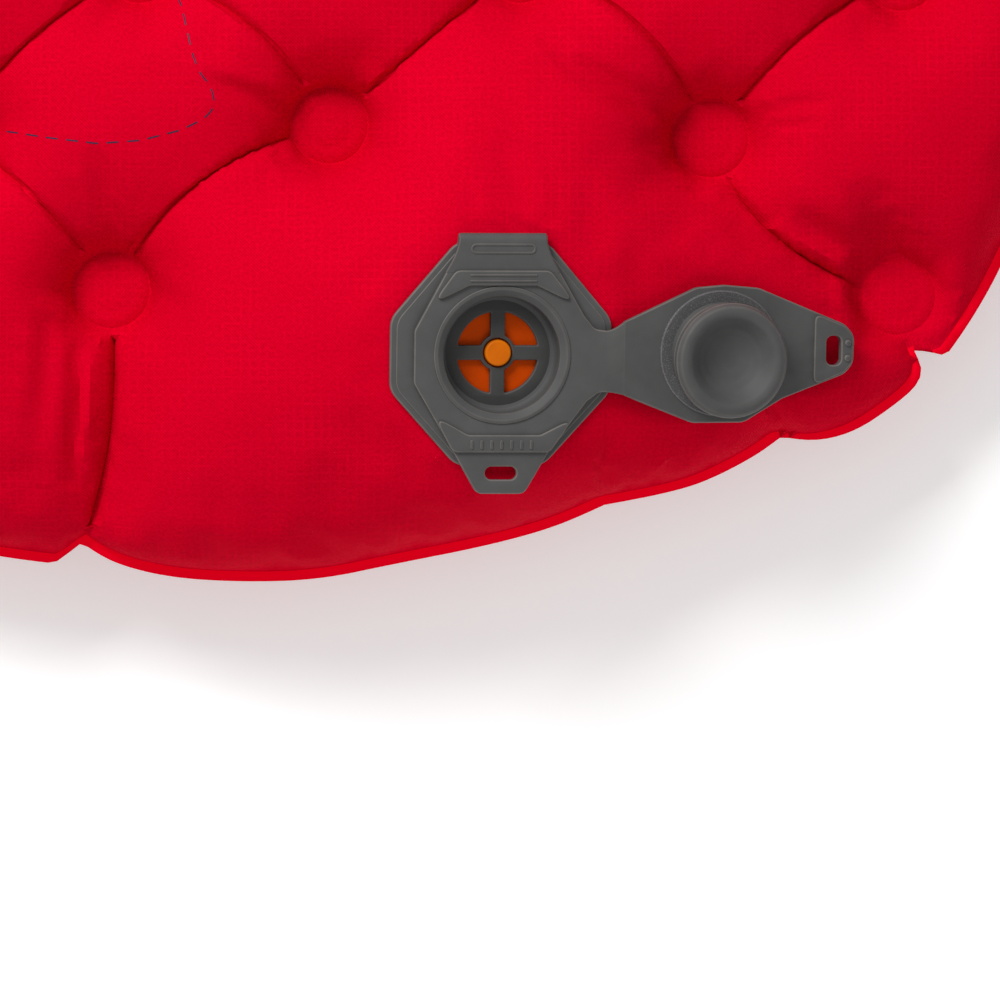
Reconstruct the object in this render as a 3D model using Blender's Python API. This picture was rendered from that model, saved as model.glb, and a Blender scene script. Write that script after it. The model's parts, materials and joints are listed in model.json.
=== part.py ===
"""Inflatable camp pillow: two welded fabric panels tied together by round tuft welds, with a soft two-stage air valve.

Millimetres are used throughout and turned into metres when a mesh is made. +Z is up, the pillow lies flat, X runs
along its length, and the valve is on the top panel near the long edge at -Y.
"""

import math

import bmesh
import bpy
from mathutils import Matrix, Vector
from mathutils.geometry import delaunay_2d_cdt, tessellate_polygon

MM = 0.001

# ---- Pillow ----
LENGTH = 412.0  # along X, tip to tip of the outline
WIDTH = 302.0  # along Y
OUTLINE_POWER = 2.15  # 2 is an ellipse, more is squarer
OUTLINE_STEPS = 96
NOTCH_REACH = 0.10  # radians over which a pucker in the outline fades
SEAM_HEIGHT = 27.0  # middle plane, where the panels meet, above the floor
PANEL_WALL = 1.0
CELL_HEIGHT = 31.0  # a quilted cell's crown above the middle plane
LOBE_HEIGHT = 36.0  # the larger front lobe's crown, which carries the valve
SEAM_WIDTH = 3.0
SEAM_THICKNESS = 1.0
EDGE_RADIUS = 40.0  # how far in from the seam the panel reaches its full height
TUFT_RADIUS = 9.0
TUFT_THICKNESS = 1.0
TUFT_MARGIN = 1.0  # between a tuft and the seam
TUFT_REACH = 45.0  # how far from a tuft the panel reaches its full height
GAP = 0.3  # between pieces that touch
MESH_STEP = 15.0  # spacing of the panels' points
TURN_STEPS = 40  # sides of the round valve pieces

# Tuft welds: a diagonal lattice, left out where the valve is. It and the puckers are drawn for one size of pillow and
# stretch with it.
DRAWN_LENGTH, DRAWN_WIDTH = 412.0, 302.0
DRAWN_TUFTS = (
    (-38.0, -77.0), (17.0, -35.5), (113.0, -39.0), (160.5, -78.8), (-134.0, -77.0), (-79.0, -37.0),
    (-127.0, 5.0), (-31.0, 5.0), (65.0, 5.0), (161.0, 3.0), (-79.0, 45.0), (17.0, 46.0),
    (113.0, 45.0), (-127.0, 85.0), (-31.0, 87.0), (65.0, 87.0), (150.0, 85.0),
)
# Puckers in the outline: x, y and depth of each.
NOTCHES = (
    (165.0, -93.0, 3.5), (204.0, 3.0, 5.0), (158.0, 98.0, 5.0), (68.0, 142.0, 6.0), (-35.0, 149.0, 6.0),
    (-148.0, 108.0, 5.0), (-204.0, 5.0, 5.0), (-152.0, -102.0, 5.0), (-45.5, -141.0, 6.0), (86.0, -131.0, 1.0),
    (130.5, -114.0, 4.0),
)

# ---- Valve: u right, v towards the pillow's middle, w out of the panel ----
VALVE_X = 60.0
VALVE_FROM_EDGE = 52.45  # from the front edge, measured along Y, before the puckers
VALVE_HEIGHT = 33.0  # panel's outer face at the valve, above the middle plane
LEAN_RIGHT, LEAN_FRONT = 9.0, 5.0  # degrees that the valve leans to +X and to -Y
VALVE_FLAT_MARGIN = 4.0  # panel's flat patch beyond the valve's flange
VALVE_BLEND = 20.0  # distance over which the flat patch runs out into the lobe
ARM_REST = 84.0  # how far right of the valve the open cap's arm presses on the lobe
ARM_REST_HALF = 22.0  # half the width of that pressed strip
ARM_CLEARANCE = 0.8  # between the pressed panel and the arm

PLUG_RADIUS = 14.4  # over the sealing ribs
PLUG_HEIGHT = 8.0
PLUG_CLEARANCE = 0.3
CUP_WALL = 2.4
CUP_LEDGE = 2.1  # how far the ledge under the seat stands in from the bore
CUP_LIP_BEVEL = 1.0
SWING_CLEARANCE = 1.3  # round the cup, so that it can swing out of the port
PORT_WALL = 1.6
PORT_BELOW_CUP = 1.0
LEDGE_THICKNESS = 0.9
PLUG_FOOT = 0.6  # how far the plug's foot stands out beyond its ribs
FLANGE_WIDTH = 7.0
FLANGE_THICKNESS = 0.9
BASE_THICKNESS = 1.5
FLAP_THICKNESS = 1.6
PAD_THICKNESS = 1.0
SEAT_THICKNESS = 1.5
SEAT_CLEARANCE = 0.3
SPOKE_WIDTH = 3.7
HUB_WALL = 0.9
STEM_RADIUS = 3.3
STEM_CLEARANCE = 0.4
STEM_PROUD = 0.9  # button above the seat
STEM_TRAVEL = 2.5
DIAPHRAGM_CLEARANCE = 0.7  # inside the ledge
DIAPHRAGM_SEAL = 1.65  # its overlap round the seat's windows
DIAPHRAGM_THICKNESS = 0.9
DIAPHRAGM_BORE = 1.3
CAP_SLOPE = 7.0  # degrees that the open cap droops below the flap's plane
CAP_SKEW = 1.1  # degrees that the cap's hinge line turns from v
DRAWN_PLUG = 14.4  # plug radius that the valve's outlines are drawn for; they grow with the plug
CHAMFER = 0.35

# Heights that follow from the sizes above, along w from the panel's outer face.
BASE_BOTTOM = GAP
BASE_TOP = BASE_BOTTOM + BASE_THICKNESS
FLAP_BOTTOM = BASE_TOP + GAP
FLAP_TOP = FLAP_BOTTOM + FLAP_THICKNESS
PAD_TOP = FLAP_TOP + PAD_THICKNESS
CAP_CLOSED_FACE = PAD_TOP + 0.2  # where the cap's face stops when it is shut
CAP_HINGE_W = (CAP_CLOSED_FACE + FLAP_TOP) / 2
BORE_RADIUS = PLUG_RADIUS + PLUG_CLEARANCE
CUP_RADIUS = BORE_RADIUS + CUP_WALL
PORT_BORE = CUP_RADIUS + SWING_CLEARANCE
PORT_RADIUS = PORT_BORE + PORT_WALL
FLANGE_RADIUS = PORT_RADIUS + FLANGE_WIDTH
VALVE_FLAT = FLANGE_RADIUS + VALVE_FLAT_MARGIN
GROWTH = PLUG_RADIUS / DRAWN_PLUG
CAP_HINGE_U = FLAP_HINGE_V = 28.6 * GROWTH
PLUG_U, PLUG_V = 2 * CAP_HINGE_U, -1.1 * GROWTH
SEAT_TOP = CAP_CLOSED_FACE - GAP - PLUG_HEIGHT - 0.4
SEAT_BOTTOM = SEAT_TOP - SEAT_THICKNESS
CUP_BOTTOM = SEAT_BOTTOM - GAP - LEDGE_THICKNESS
PORT_DEPTH = PORT_BELOW_CUP - CUP_BOTTOM
LEDGE_RADIUS = BORE_RADIUS - CUP_LEDGE
DIAPHRAGM_RADIUS = LEDGE_RADIUS - DIAPHRAGM_CLEARANCE
WINDOW_RADIUS = DIAPHRAGM_RADIUS - DIAPHRAGM_SEAL
HUB_RADIUS = STEM_RADIUS + STEM_CLEARANCE + HUB_WALL
VALVE_Y = VALVE_FROM_EDGE - WIDTH / 2 * (1 - (VALVE_X * 2 / LENGTH) ** OUTLINE_POWER) ** (1 / OUTLINE_POWER)
FLAP_HINGE_W = (BASE_TOP + FLAP_BOTTOM) / 2
PANEL_REST = SEAM_THICKNESS / 2 + GAP  # a panel's inner face above the middle plane where it is welded

# Outlines of the soft valve pieces, corner by corner, before their corners are rounded, for a plug of DRAWN_PLUG.
BASE_OUTLINE = (
    (28.0, 8.8), (11.4, 28.3), (-11.4, 28.3), (-28.0, 8.8), (-28.0, -9.2), (-11.0, -28.0), (11.0, -28.0),
    (28.0, -9.2),
)
FLAP_OUTLINE = (
    (28.3, 7.0), (24.0, 6.4), (21.8, 8.8), (12.6, 24.4), (11.1, 28.3), (-11.1, 28.3), (-12.6, 24.4),
    (-21.5, 6.4), (-21.5, -7.6), (-12.2, -24.1), (-6.0, -34.8), (6.0, -34.8), (12.2, -24.1), (21.6, -11.6),
    (24.6, -9.5), (28.3, -9.3),
)
UPPER_PAD = ((11.8, 21.2), (18.0, 13.0), (8.5, 18.0), (-8.5, 18.0), (-17.2, 13.0), (-11.8, 21.2))
LOWER_PAD = ((-16.3, -15.6), (-11.4, -24.3), (11.4, -24.3), (17.4, -16.2), (9.8, -20.3), (-8.2, -20.3))
ARM_OUTLINE = (
    (28.9, 7.0), (33.5, 9.4), (49.6, 16.8), (57.0, 17.4), (66.0, 16.6), (88.2, 7.3), (90.4, 4.6),
    (90.2, -2.6), (88.0, -5.2), (72.5, -11.3), (62.5, -17.2), (49.0, -17.2), (33.7, -11.2), (28.9, -9.3),
)
TAB_PAD = ((79.8, 10.2), (79.8, -7.8), (87.6, -4.6), (89.6, -2.2), (89.8, 4.2), (87.8, 6.8))
FLAP_SLOT = ((0.0, -29.6), 8.0, 3.3)  # centre, length along u, width
ARM_SLOT = ((84.7, 0.7), 3.9, 7.4)  # centre, size along u, size along v
STRAP_GROOVE = ((0.0, 25.6), 16.5, 2.4)
GROOVE_DEPTH = 0.5
TAB_DOTS = ((88.3, 2.7), (88.2, -1.1))
TAB_DOT_RADIUS = 0.8
TAB_DOT_HEIGHT = 0.6


# ---- Materials ----
def material(name, colour, roughness):
    """A plain Principled material."""
    made = bpy.data.materials.new(name)
    made.use_nodes = True
    shader = made.node_tree.nodes["Principled BSDF"]
    shader.inputs["Base Color"].default_value = (*colour, 1.0)
    shader.inputs["Roughness"].default_value = roughness
    shader.inputs["Metallic"].default_value = 0.0
    made.diffuse_color = (*colour, 1.0)
    return made


# ---- Outlines ----
def arc(centre, radius, start, end, steps):
    """Points on an arc, angles in radians."""
    turn = (end - start) / steps
    return [
        (centre[0] + radius * math.cos(start + turn * i), centre[1] + radius * math.sin(start + turn * i))
        for i in range(steps + 1)
    ]


def circle(centre, radius, steps=TURN_STEPS):
    return arc(centre, radius, 0, 2 * math.pi, steps)[:-1]


def stadium(centre, along_u, along_v, steps=6):
    """A slot with round ends, longer along one of the two directions."""
    radius = min(along_u, along_v) / 2
    reach_u, reach_v = along_u / 2 - radius, along_v / 2 - radius
    points = []
    for quarter, (side_u, side_v) in enumerate(((1, 1), (-1, 1), (-1, -1), (1, -1))):
        corner = (centre[0] + side_u * reach_u, centre[1] + side_v * reach_v)
        points += arc(corner, radius, quarter * math.pi / 2, (quarter + 1) * math.pi / 2, steps // 2)
    return without_repeats(points)


def without_repeats(points):
    """The loop without points that lie on the one before."""
    return [p for i, p in enumerate(points) if math.dist(p, points[i - 1]) > 1e-4]


def rounded(corners, radius, steps=3):
    """The polygon with each corner replaced by an arc, as wide as its sides allow."""
    points = []
    for i, corner in enumerate(corners):
        here = Vector(corner)
        back = Vector(corners[i - 1]) - here
        ahead = Vector(corners[(i + 1) % len(corners)]) - here
        angle = back.angle(ahead)
        if math.pi - angle < 0.05:
            points.append(corner)
            continue
        cut = min(radius / math.tan(angle / 2), 0.45 * back.length, 0.45 * ahead.length)
        start, end = here + back.normalized() * cut, here + ahead.normalized() * cut
        for k in range(steps + 1):
            t = k / steps
            bend = start * (1 - t) ** 2 + here * 2 * t * (1 - t) + end * t**2
            points.append((bend.x, bend.y))
    return without_repeats(points)


def grown(points):
    """A drawn outline at the size that goes with the plug."""
    return [(u * GROWTH, v * GROWTH) for u, v in points]


def anticlockwise(loop):
    area = sum(a[0] * b[1] - b[0] * a[1] for a, b in zip(loop, loop[1:] + loop[:1]))
    return loop if area > 0 else loop[::-1]


def inset(loop, distance):
    """The anticlockwise loop moved inwards by a small distance."""
    moved = []
    for i, point in enumerate(loop):
        here = Vector(point)
        before = (here - Vector(loop[i - 1])).normalized()
        after = (Vector(loop[(i + 1) % len(loop)]) - here).normalized()
        normal = Vector((-before.y - after.y, before.x + after.x))
        share = max(normal.length_squared / 2, 0.5)
        moved.append(tuple(here + normal * (distance / share)))
    return moved


# ---- Solids ----
def solid(name, points, faces, look, smooth_angle=None):
    """A mesh object from points in millimetres."""
    mesh = bpy.data.meshes.new(name)
    mesh.from_pydata([Vector(p) * MM for p in points], [], faces)
    mesh.validate()
    work = bmesh.new()
    work.from_mesh(mesh)
    bmesh.ops.recalc_face_normals(work, faces=work.faces)
    work.to_mesh(mesh)
    work.free()
    if smooth_angle:
        mesh.shade_smooth()
        mesh.set_sharp_from_angle(angle=math.radians(smooth_angle))
    mesh.materials.append(look)
    made = bpy.data.objects.new(name, mesh)
    bpy.context.scene.collection.objects.link(made)
    return made


def prism(name, outline, bottom, top, look, holes=(), chamfer=CHAMFER):
    """A flat plate of the outline's shape with chamfered edges and through holes."""
    layers = [(bottom, chamfer), (bottom + chamfer, 0), (top - chamfer, 0), (top, chamfer)]
    if chamfer == 0:
        layers = [(bottom, 0), (top, 0)]
    loops = [anticlockwise(list(outline))] + [anticlockwise(list(hole)) for hole in holes]
    points, faces, starts = [], [], []
    for height, pulled in layers:
        start = len(points)
        starts.append(start)
        for n, loop in enumerate(loops):
            moved = inset(loop, pulled if n == 0 else -pulled) if pulled else loop
            points += [(u, v, height) for u, v in moved]
    for low, high in zip(starts, starts[1:]):
        first = 0
        for loop in loops:
            count = len(loop)
            for i in range(count):
                a, b = first + i, first + (i + 1) % count
                faces.append((low + a, low + b, high + b, high + a))
            first += count
    for start in (starts[0], starts[-1]):
        flat, first = [], start
        for loop in loops:
            flat.append([Vector((*points[first + i][:2], 0)) for i in range(len(loop))])
            first += len(loop)
        faces += [tuple(start + i for i in triangle) for triangle in tessellate_polygon(flat)]
    return solid(name, points, faces, look)


def turned(name, profile, look, centre=(0, 0), steps=TURN_STEPS, smooth_angle=40):
    """A solid of revolution about w. The profile is a closed loop of (radius, w); radius 0 is a point on the axis."""
    points, faces, rings = [], [], []
    for radius, height in profile:
        if radius == 0:
            rings.append([len(points)] * steps)
            points.append((centre[0], centre[1], height))
            continue
        rings.append(list(range(len(points), len(points) + steps)))
        points += [(u, v, height) for u, v in circle(centre, radius, steps)]
    for ring, above in zip(rings, rings[1:] + rings[:1]):
        for i in range(steps):
            j = (i + 1) % steps
            corners = dict.fromkeys((ring[i], ring[j], above[j], above[i]))
            if len(corners) > 2:
                faces.append(tuple(corners))
    return solid(name, points, faces, look, smooth_angle)


def cut(target, cutter):
    """Takes the cutter's shape out of the target."""
    cutter.hide_render = True
    cutter.display_type = "WIRE"
    modifier = target.modifiers.new("cut_" + cutter.name, "BOOLEAN")
    modifier.operation = "DIFFERENCE"
    modifier.object = cutter


def join(target, other):
    """Makes the other piece, a helper, one body with the target."""
    other.hide_render = True
    other.display_type = "WIRE"
    modifier = target.modifiers.new("join_" + other.name, "BOOLEAN")
    modifier.operation = "UNION"
    modifier.object = other


def empty_at(name, matrix, parent=None):
    """An empty whose matrix is given in millimetres, relative to its parent."""
    made = bpy.data.objects.new(name, None)
    bpy.context.scene.collection.objects.link(made)
    made.parent = parent
    metres = matrix.copy()
    metres.translation = matrix.translation * MM
    made.matrix_local = metres
    return made


def hang(parent, *pieces):
    for piece in pieces:
        piece.parent = parent


# ---- Pillow shape ----
def outline_radius(angle):
    """Distance from the middle to the pillow's edge in a direction, puckers included."""
    across = abs(math.cos(angle) * 2 / LENGTH) ** OUTLINE_POWER
    along = abs(math.sin(angle) * 2 / WIDTH) ** OUTLINE_POWER
    radius = (across + along) ** (-1 / OUTLINE_POWER)
    for x, y, depth in NOTCHES:
        towards = math.atan2(y * WIDTH / DRAWN_WIDTH, x * LENGTH / DRAWN_LENGTH)
        away = abs((angle - towards + math.pi) % (2 * math.pi) - math.pi)
        radius -= depth * math.exp(-away / NOTCH_REACH)
    return radius


def pillow_outline():
    angles = [2 * math.pi * i / OUTLINE_STEPS for i in range(OUTLINE_STEPS)]
    return [(outline_radius(a) * math.cos(a), outline_radius(a) * math.sin(a)) for a in angles]


def distance_to_loop(point, loop):
    """Shortest distance from a point to a closed loop."""
    here, best = Vector(point), 1e9
    for a, b in zip(loop, loop[1:] + loop[:1]):
        start, along = Vector(a), Vector(b) - Vector(a)
        share = min(max((here - start).dot(along) / along.length_squared, 0), 1)
        best = min(best, (here - start - along * share).length)
    return best


def place_tufts():
    """The lattice stretched to the pillow's size, with any tuft that is too near the seam moved in."""
    outline, placed = pillow_outline(), []
    for x, y in DRAWN_TUFTS:
        tuft = Vector((x * LENGTH / DRAWN_LENGTH, y * WIDTH / DRAWN_WIDTH))
        lack = SEAM_WIDTH + TUFT_RADIUS + TUFT_MARGIN - distance_to_loop(tuft, outline)
        placed.append(tuple(tuft * (1 - max(lack, 0) / tuft.length)))
    return placed


TUFTS = place_tufts()


def rise(distance, reach):
    """A quarter circle's rise from 0 to 1 over the reach."""
    share = min(max(distance / reach, 0), 1)
    return math.sqrt(1 - (1 - share) ** 2)


def smooth_step(value):
    value = min(max(value, 0), 1)
    return value * value * (3 - 2 * value)


def crown_height(x, y):
    """Full height of the panel here, higher towards the front lobe."""
    nearness = smooth_step(1 - math.dist((x, y), (VALVE_X, VALVE_Y)) / (2.5 * VALVE_FLAT))
    return CELL_HEIGHT + (LOBE_HEIGHT - CELL_HEIGHT) * nearness


def panel_rise(x, y, edge_distance, with_valve):
    """Height of a panel's face above where it is welded."""
    height = crown_height(x, y) * rise(edge_distance - SEAM_WIDTH, EDGE_RADIUS)
    for tuft in TUFTS:
        height *= rise(math.dist((x, y), tuft) - TUFT_RADIUS, TUFT_REACH)
    if with_valve:
        right = x - VALVE_X
        lean_right, lean_front = math.tan(math.radians(LEAN_RIGHT)), math.tan(math.radians(LEAN_FRONT))
        plane = VALVE_HEIGHT - PANEL_REST - PANEL_WALL - lean_right * right + lean_front * (y - VALVE_Y)
        near_edge = smooth_step((edge_distance - SEAM_WIDTH) / 8)
        away = math.dist((x, y), (VALVE_X, VALVE_Y)) - VALVE_FLAT
        height += (plane - height) * smooth_step(1 - away / VALVE_BLEND) * near_edge
        beyond = max(right - VALVE_FLAT, 0)
        pressed = plane - math.tan(math.radians(CAP_SLOPE)) * beyond - ARM_CLEARANCE * smooth_step(beyond / 5)
        along = min(max(right, VALVE_FLAT + 4), ARM_REST)
        away = math.dist((right, y - VALVE_Y), (along, 0)) - ARM_REST_HALF
        height += min(pressed - height, 0) * smooth_step(1 - away / VALVE_BLEND) * near_edge
    return height


def panel_points(outline):
    """Points over the pillow's plan: its edge, rings in from it, rings round each tuft and a grid between."""
    rings = [inset(outline, distance) for distance in (SEAM_WIDTH, SEAM_WIDTH + 2.5, SEAM_WIDTH + 9)]
    rings = [rings[0], rings[1][::2], rings[2][::2]]
    points = list(outline)
    for ring in rings:
        points += ring
    around_tufts = []
    for tuft in TUFTS:
        edge = distance_to_loop(tuft, outline)
        around_tufts.append(tuft)
        for radius, steps in ((TUFT_RADIUS, 10), (TUFT_RADIUS + 7, 10)):
            if radius < edge - SEAM_WIDTH - 3:
                around_tufts += circle(tuft, radius, steps)
    points += around_tufts
    points += circle((VALVE_X, VALVE_Y), VALVE_FLAT, 24)
    columns, rows = int(LENGTH / MESH_STEP / 2) + 1, int(WIDTH / MESH_STEP / 2) + 2
    for row in range(-rows, rows + 1):
        for column in range(-columns, columns + 1):
            spot = ((column + (row % 2) / 2) * MESH_STEP, row * MESH_STEP * math.sqrt(3) / 2)
            clear_of_tufts = all(math.dist(spot, tuft) > TUFT_RADIUS + 13 for tuft in TUFTS)
            inside = math.hypot(*spot) < outline_radius(math.atan2(spot[1], spot[0]))
            if inside and clear_of_tufts and distance_to_loop(spot, outline) > SEAM_WIDTH + 15:
                points.append(spot)
    return points


def panel(name, outline, look, upwards):
    """One fabric panel: a thin shell over the whole plan, closed at its edge."""
    edges = [(i, (i + 1) % len(outline)) for i in range(len(outline))]
    flat = [Vector(p) for p in panel_points(outline)]
    plan, _, triangles, *_ = delaunay_2d_cdt(flat, edges, [], 1, 1e-4)
    outer, inner = [], []
    for x, y in plan:
        height = panel_rise(x, y, distance_to_loop((x, y), outline), upwards)
        if upwards:
            low = SEAM_HEIGHT + PANEL_REST + height
            inner.append((x, y, low))
            outer.append((x, y, low + PANEL_WALL))
        else:
            low = max(SEAM_HEIGHT - PANEL_REST - PANEL_WALL - height, 0)
            outer.append((x, y, low))
            inner.append((x, y, low + PANEL_WALL))
    count = len(plan)
    faces = [tuple(t) for t in triangles] + [tuple(count + i for i in reversed(t)) for t in triangles]
    sides = {}
    for triangle in triangles:
        for a, b in zip(triangle, triangle[1:] + triangle[:1]):
            sides[(a, b)] = (b, a) not in sides
            if (b, a) in sides:
                sides[(b, a)] = sides[(a, b)] = False
    faces += [(a, b, count + b, count + a) for (a, b), border in sides.items() if border]
    return solid(name, outer + inner, faces, look, 60)


# ---- Pieces ----
def make_pillow(looks):
    outline = pillow_outline()
    top = panel("top_panel", outline, looks["fabric_top"], True)
    panel("bottom_panel", outline, looks["fabric_bottom"], False)
    half = SEAM_THICKNESS / 2
    prism(
        "perimeter_weld", outline, SEAM_HEIGHT - half, SEAM_HEIGHT + half, looks["weld"],
        holes=[inset(outline, SEAM_WIDTH - GAP)], chamfer=0,
    )
    for number, tuft in enumerate(TUFTS, 1):
        half = TUFT_THICKNESS / 2
        turned(
            f"tuft_weld_{number:02d}",
            [(0, SEAM_HEIGHT - half), (TUFT_RADIUS - GAP, SEAM_HEIGHT - half),
             (TUFT_RADIUS - GAP, SEAM_HEIGHT + half), (0, SEAM_HEIGHT + half)],
            looks["weld"], centre=tuft, steps=20,
        )
    return top


def make_base(frame, looks):
    """The octagonal base outside the panel and the welded flange with the port's tube inside it."""
    base = prism(
        "valve_base_plate", rounded(grown(BASE_OUTLINE), 6.0), BASE_BOTTOM, BASE_TOP, looks["valve_grey"],
        holes=[circle((0, 0), PORT_RADIUS + GAP)],
    )
    flange_top = -PANEL_WALL - GAP
    flange = turned(
        "port_flange",
        [(PORT_BORE, BASE_TOP - CHAMFER), (PORT_BORE, -PORT_DEPTH), (PORT_RADIUS, -PORT_DEPTH),
         (PORT_RADIUS, flange_top - FLANGE_THICKNESS), (FLANGE_RADIUS, flange_top - FLANGE_THICKNESS),
         (FLANGE_RADIUS, flange_top), (PORT_RADIUS, flange_top), (PORT_RADIUS, BASE_TOP),
         (PORT_BORE + CHAMFER, BASE_TOP)],
        looks["port_tpu"],
    )
    hang(frame, base, flange)


def make_flap(frame, looks):
    """The deflate flap with its pads, pull tab and slot, and the cup in its middle."""
    grey = looks["valve_grey"]
    flap = prism(
        "deflate_flap", rounded(grown(FLAP_OUTLINE), 3.0, 2), FLAP_BOTTOM, FLAP_TOP, grey,
        holes=[circle((0, 0), CUP_RADIUS + GAP), grown(stadium(*FLAP_SLOT))],
    )
    sunk = 0.6
    for name, corners in (("upper_pad", UPPER_PAD), ("lower_pad", LOWER_PAD)):
        pad = prism(name, rounded(grown(corners), 2.0, 2), FLAP_TOP - sunk, PAD_TOP, grey)
        join(flap, pad)
        hang(frame, pad)
    groove = prism(
        "groove_cutter", grown(stadium(*STRAP_GROOVE)), FLAP_TOP - GROOVE_DEPTH, FLAP_TOP + 1, grey, chamfer=0
    )
    cut(flap, groove)
    cup = turned(
        "valve_cup",
        [(LEDGE_RADIUS, CUP_BOTTOM), (CUP_RADIUS - 0.6, CUP_BOTTOM), (CUP_RADIUS, CUP_BOTTOM + 0.6),
         (CUP_RADIUS, PAD_TOP - CHAMFER), (CUP_RADIUS - CHAMFER, PAD_TOP),
         (BORE_RADIUS + CUP_LIP_BEVEL, PAD_TOP), (BORE_RADIUS, PAD_TOP - 1.5 * CUP_LIP_BEVEL),
         (BORE_RADIUS, SEAT_BOTTOM - GAP), (LEDGE_RADIUS, SEAT_BOTTOM - GAP)],
        grey,
    )
    hang(frame, flap, groove, cup)


def window(quarter):
    """One of the seat's four openings: a quarter of a ring, between two spokes."""
    half = SPOKE_WIDTH / 2
    inner, outer = HUB_RADIUS, WINDOW_RADIUS
    gap_in, gap_out = math.asin(half / inner), math.asin(half / outer)
    loop = arc((0, 0), outer, gap_out, math.pi / 2 - gap_out, 7)
    loop += arc((0, 0), inner, math.pi / 2 - gap_in, gap_in, 3)
    turn = Matrix.Rotation(quarter * math.pi / 2, 2)
    turned_loop = [tuple(turn @ Vector(p)) for p in loop]
    return rounded(turned_loop, 0.5, 2)


def make_check_valve(frame, looks):
    """The spoked seat in the cup, and the diaphragm and stem that press against it from inside."""
    seat = prism(
        "check_valve_seat", circle((0, 0), BORE_RADIUS - SEAT_CLEARANCE), SEAT_BOTTOM, SEAT_TOP,
        looks["valve_dark"],
        holes=[circle((0, 0), STEM_RADIUS + STEM_CLEARANCE, 24)] + [window(q) for q in range(4)],
        chamfer=0.2,
    )
    disc_top = SEAT_BOTTOM - GAP
    disc_bottom = disc_top - DIAPHRAGM_THICKNESS
    disc = turned(
        "check_diaphragm",
        [(DIAPHRAGM_BORE, disc_bottom), (DIAPHRAGM_RADIUS - 0.3, disc_bottom),
         (DIAPHRAGM_RADIUS, disc_bottom + 0.3), (DIAPHRAGM_RADIUS, disc_top), (DIAPHRAGM_BORE, disc_top)],
        looks["orange_silicone"], steps=32,
    )
    neck = DIAPHRAGM_BORE - GAP
    button = SEAT_TOP + STEM_PROUD
    stem = turned(
        "check_stem",
        [(0, disc_bottom - 1.5), (1.6, disc_bottom - 1.5), (2.2, disc_bottom - GAP), (neck, disc_bottom - GAP),
         (neck, disc_top + GAP), (STEM_RADIUS, disc_top + GAP), (STEM_RADIUS, button - CHAMFER),
         (STEM_RADIUS - CHAMFER, button), (0, button + 0.1)],
        looks["orange_silicone"], steps=24,
    )
    hang(frame, seat, disc, stem)


def make_cap(frame, looks):
    """The inflate cap: its arm with the pull tab, and the dished plug. Drawn flat; the frame holds the droop."""
    grey = looks["valve_grey"]
    top = FLAP_TOP
    slot = grown(stadium(*ARM_SLOT))
    arm = prism(
        "inflate_cap_arm", rounded(grown(ARM_OUTLINE), 5.0, 2), FLAP_BOTTOM, top, grey, holes=[slot]
    )
    sunk = 0.6
    pad = prism(
        "tab_pad", rounded(grown(TAB_PAD), 1.5, 2), top - sunk, top + PAD_THICKNESS, grey, holes=[slot]
    )
    join(arm, pad)
    dots = []
    for number, spot in enumerate(grown(TAB_DOTS), 1):
        low, high = top + PAD_THICKNESS - 0.4, top + PAD_THICKNESS + TAB_DOT_HEIGHT
        profile = [(0, low), (TAB_DOT_RADIUS, low), (TAB_DOT_RADIUS, high - 0.3), (TAB_DOT_RADIUS / 2, high), (0, high)]
        dot = turned(f"tab_dot_{number}", profile, grey, centre=spot, steps=12)
        join(arm, dot)
        dots.append(dot)
    base = top + GAP
    rib, foot, tall = PLUG_RADIUS, PLUG_RADIUS + PLUG_FOOT, PLUG_HEIGHT
    profile = [
        (0, 0), (foot, 0), (foot, 0.8), (rib - 0.6, 1.2), (rib - 0.6, 2.7), (rib, 3.1), (rib, 3.7),
        (rib - 0.5, 4.1), (rib - 0.5, 4.6), (rib, 5.0), (rib, tall - 1.6), (rib - 0.7, tall - 0.4), (rib - 2.2, tall),
        (rib - 3.6, tall - 0.2), (rib - 4.7, tall - 1.0), (rib - 5.4, tall - 2.6), (rib - 6.6, tall - 3.3),
        (0, tall - 3.6),
    ]
    plug = turned("inflate_plug", [(r, base + h) for r, h in profile], grey, centre=(PLUG_U, PLUG_V))
    hang(frame, arm, pad, plug, *dots)


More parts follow.
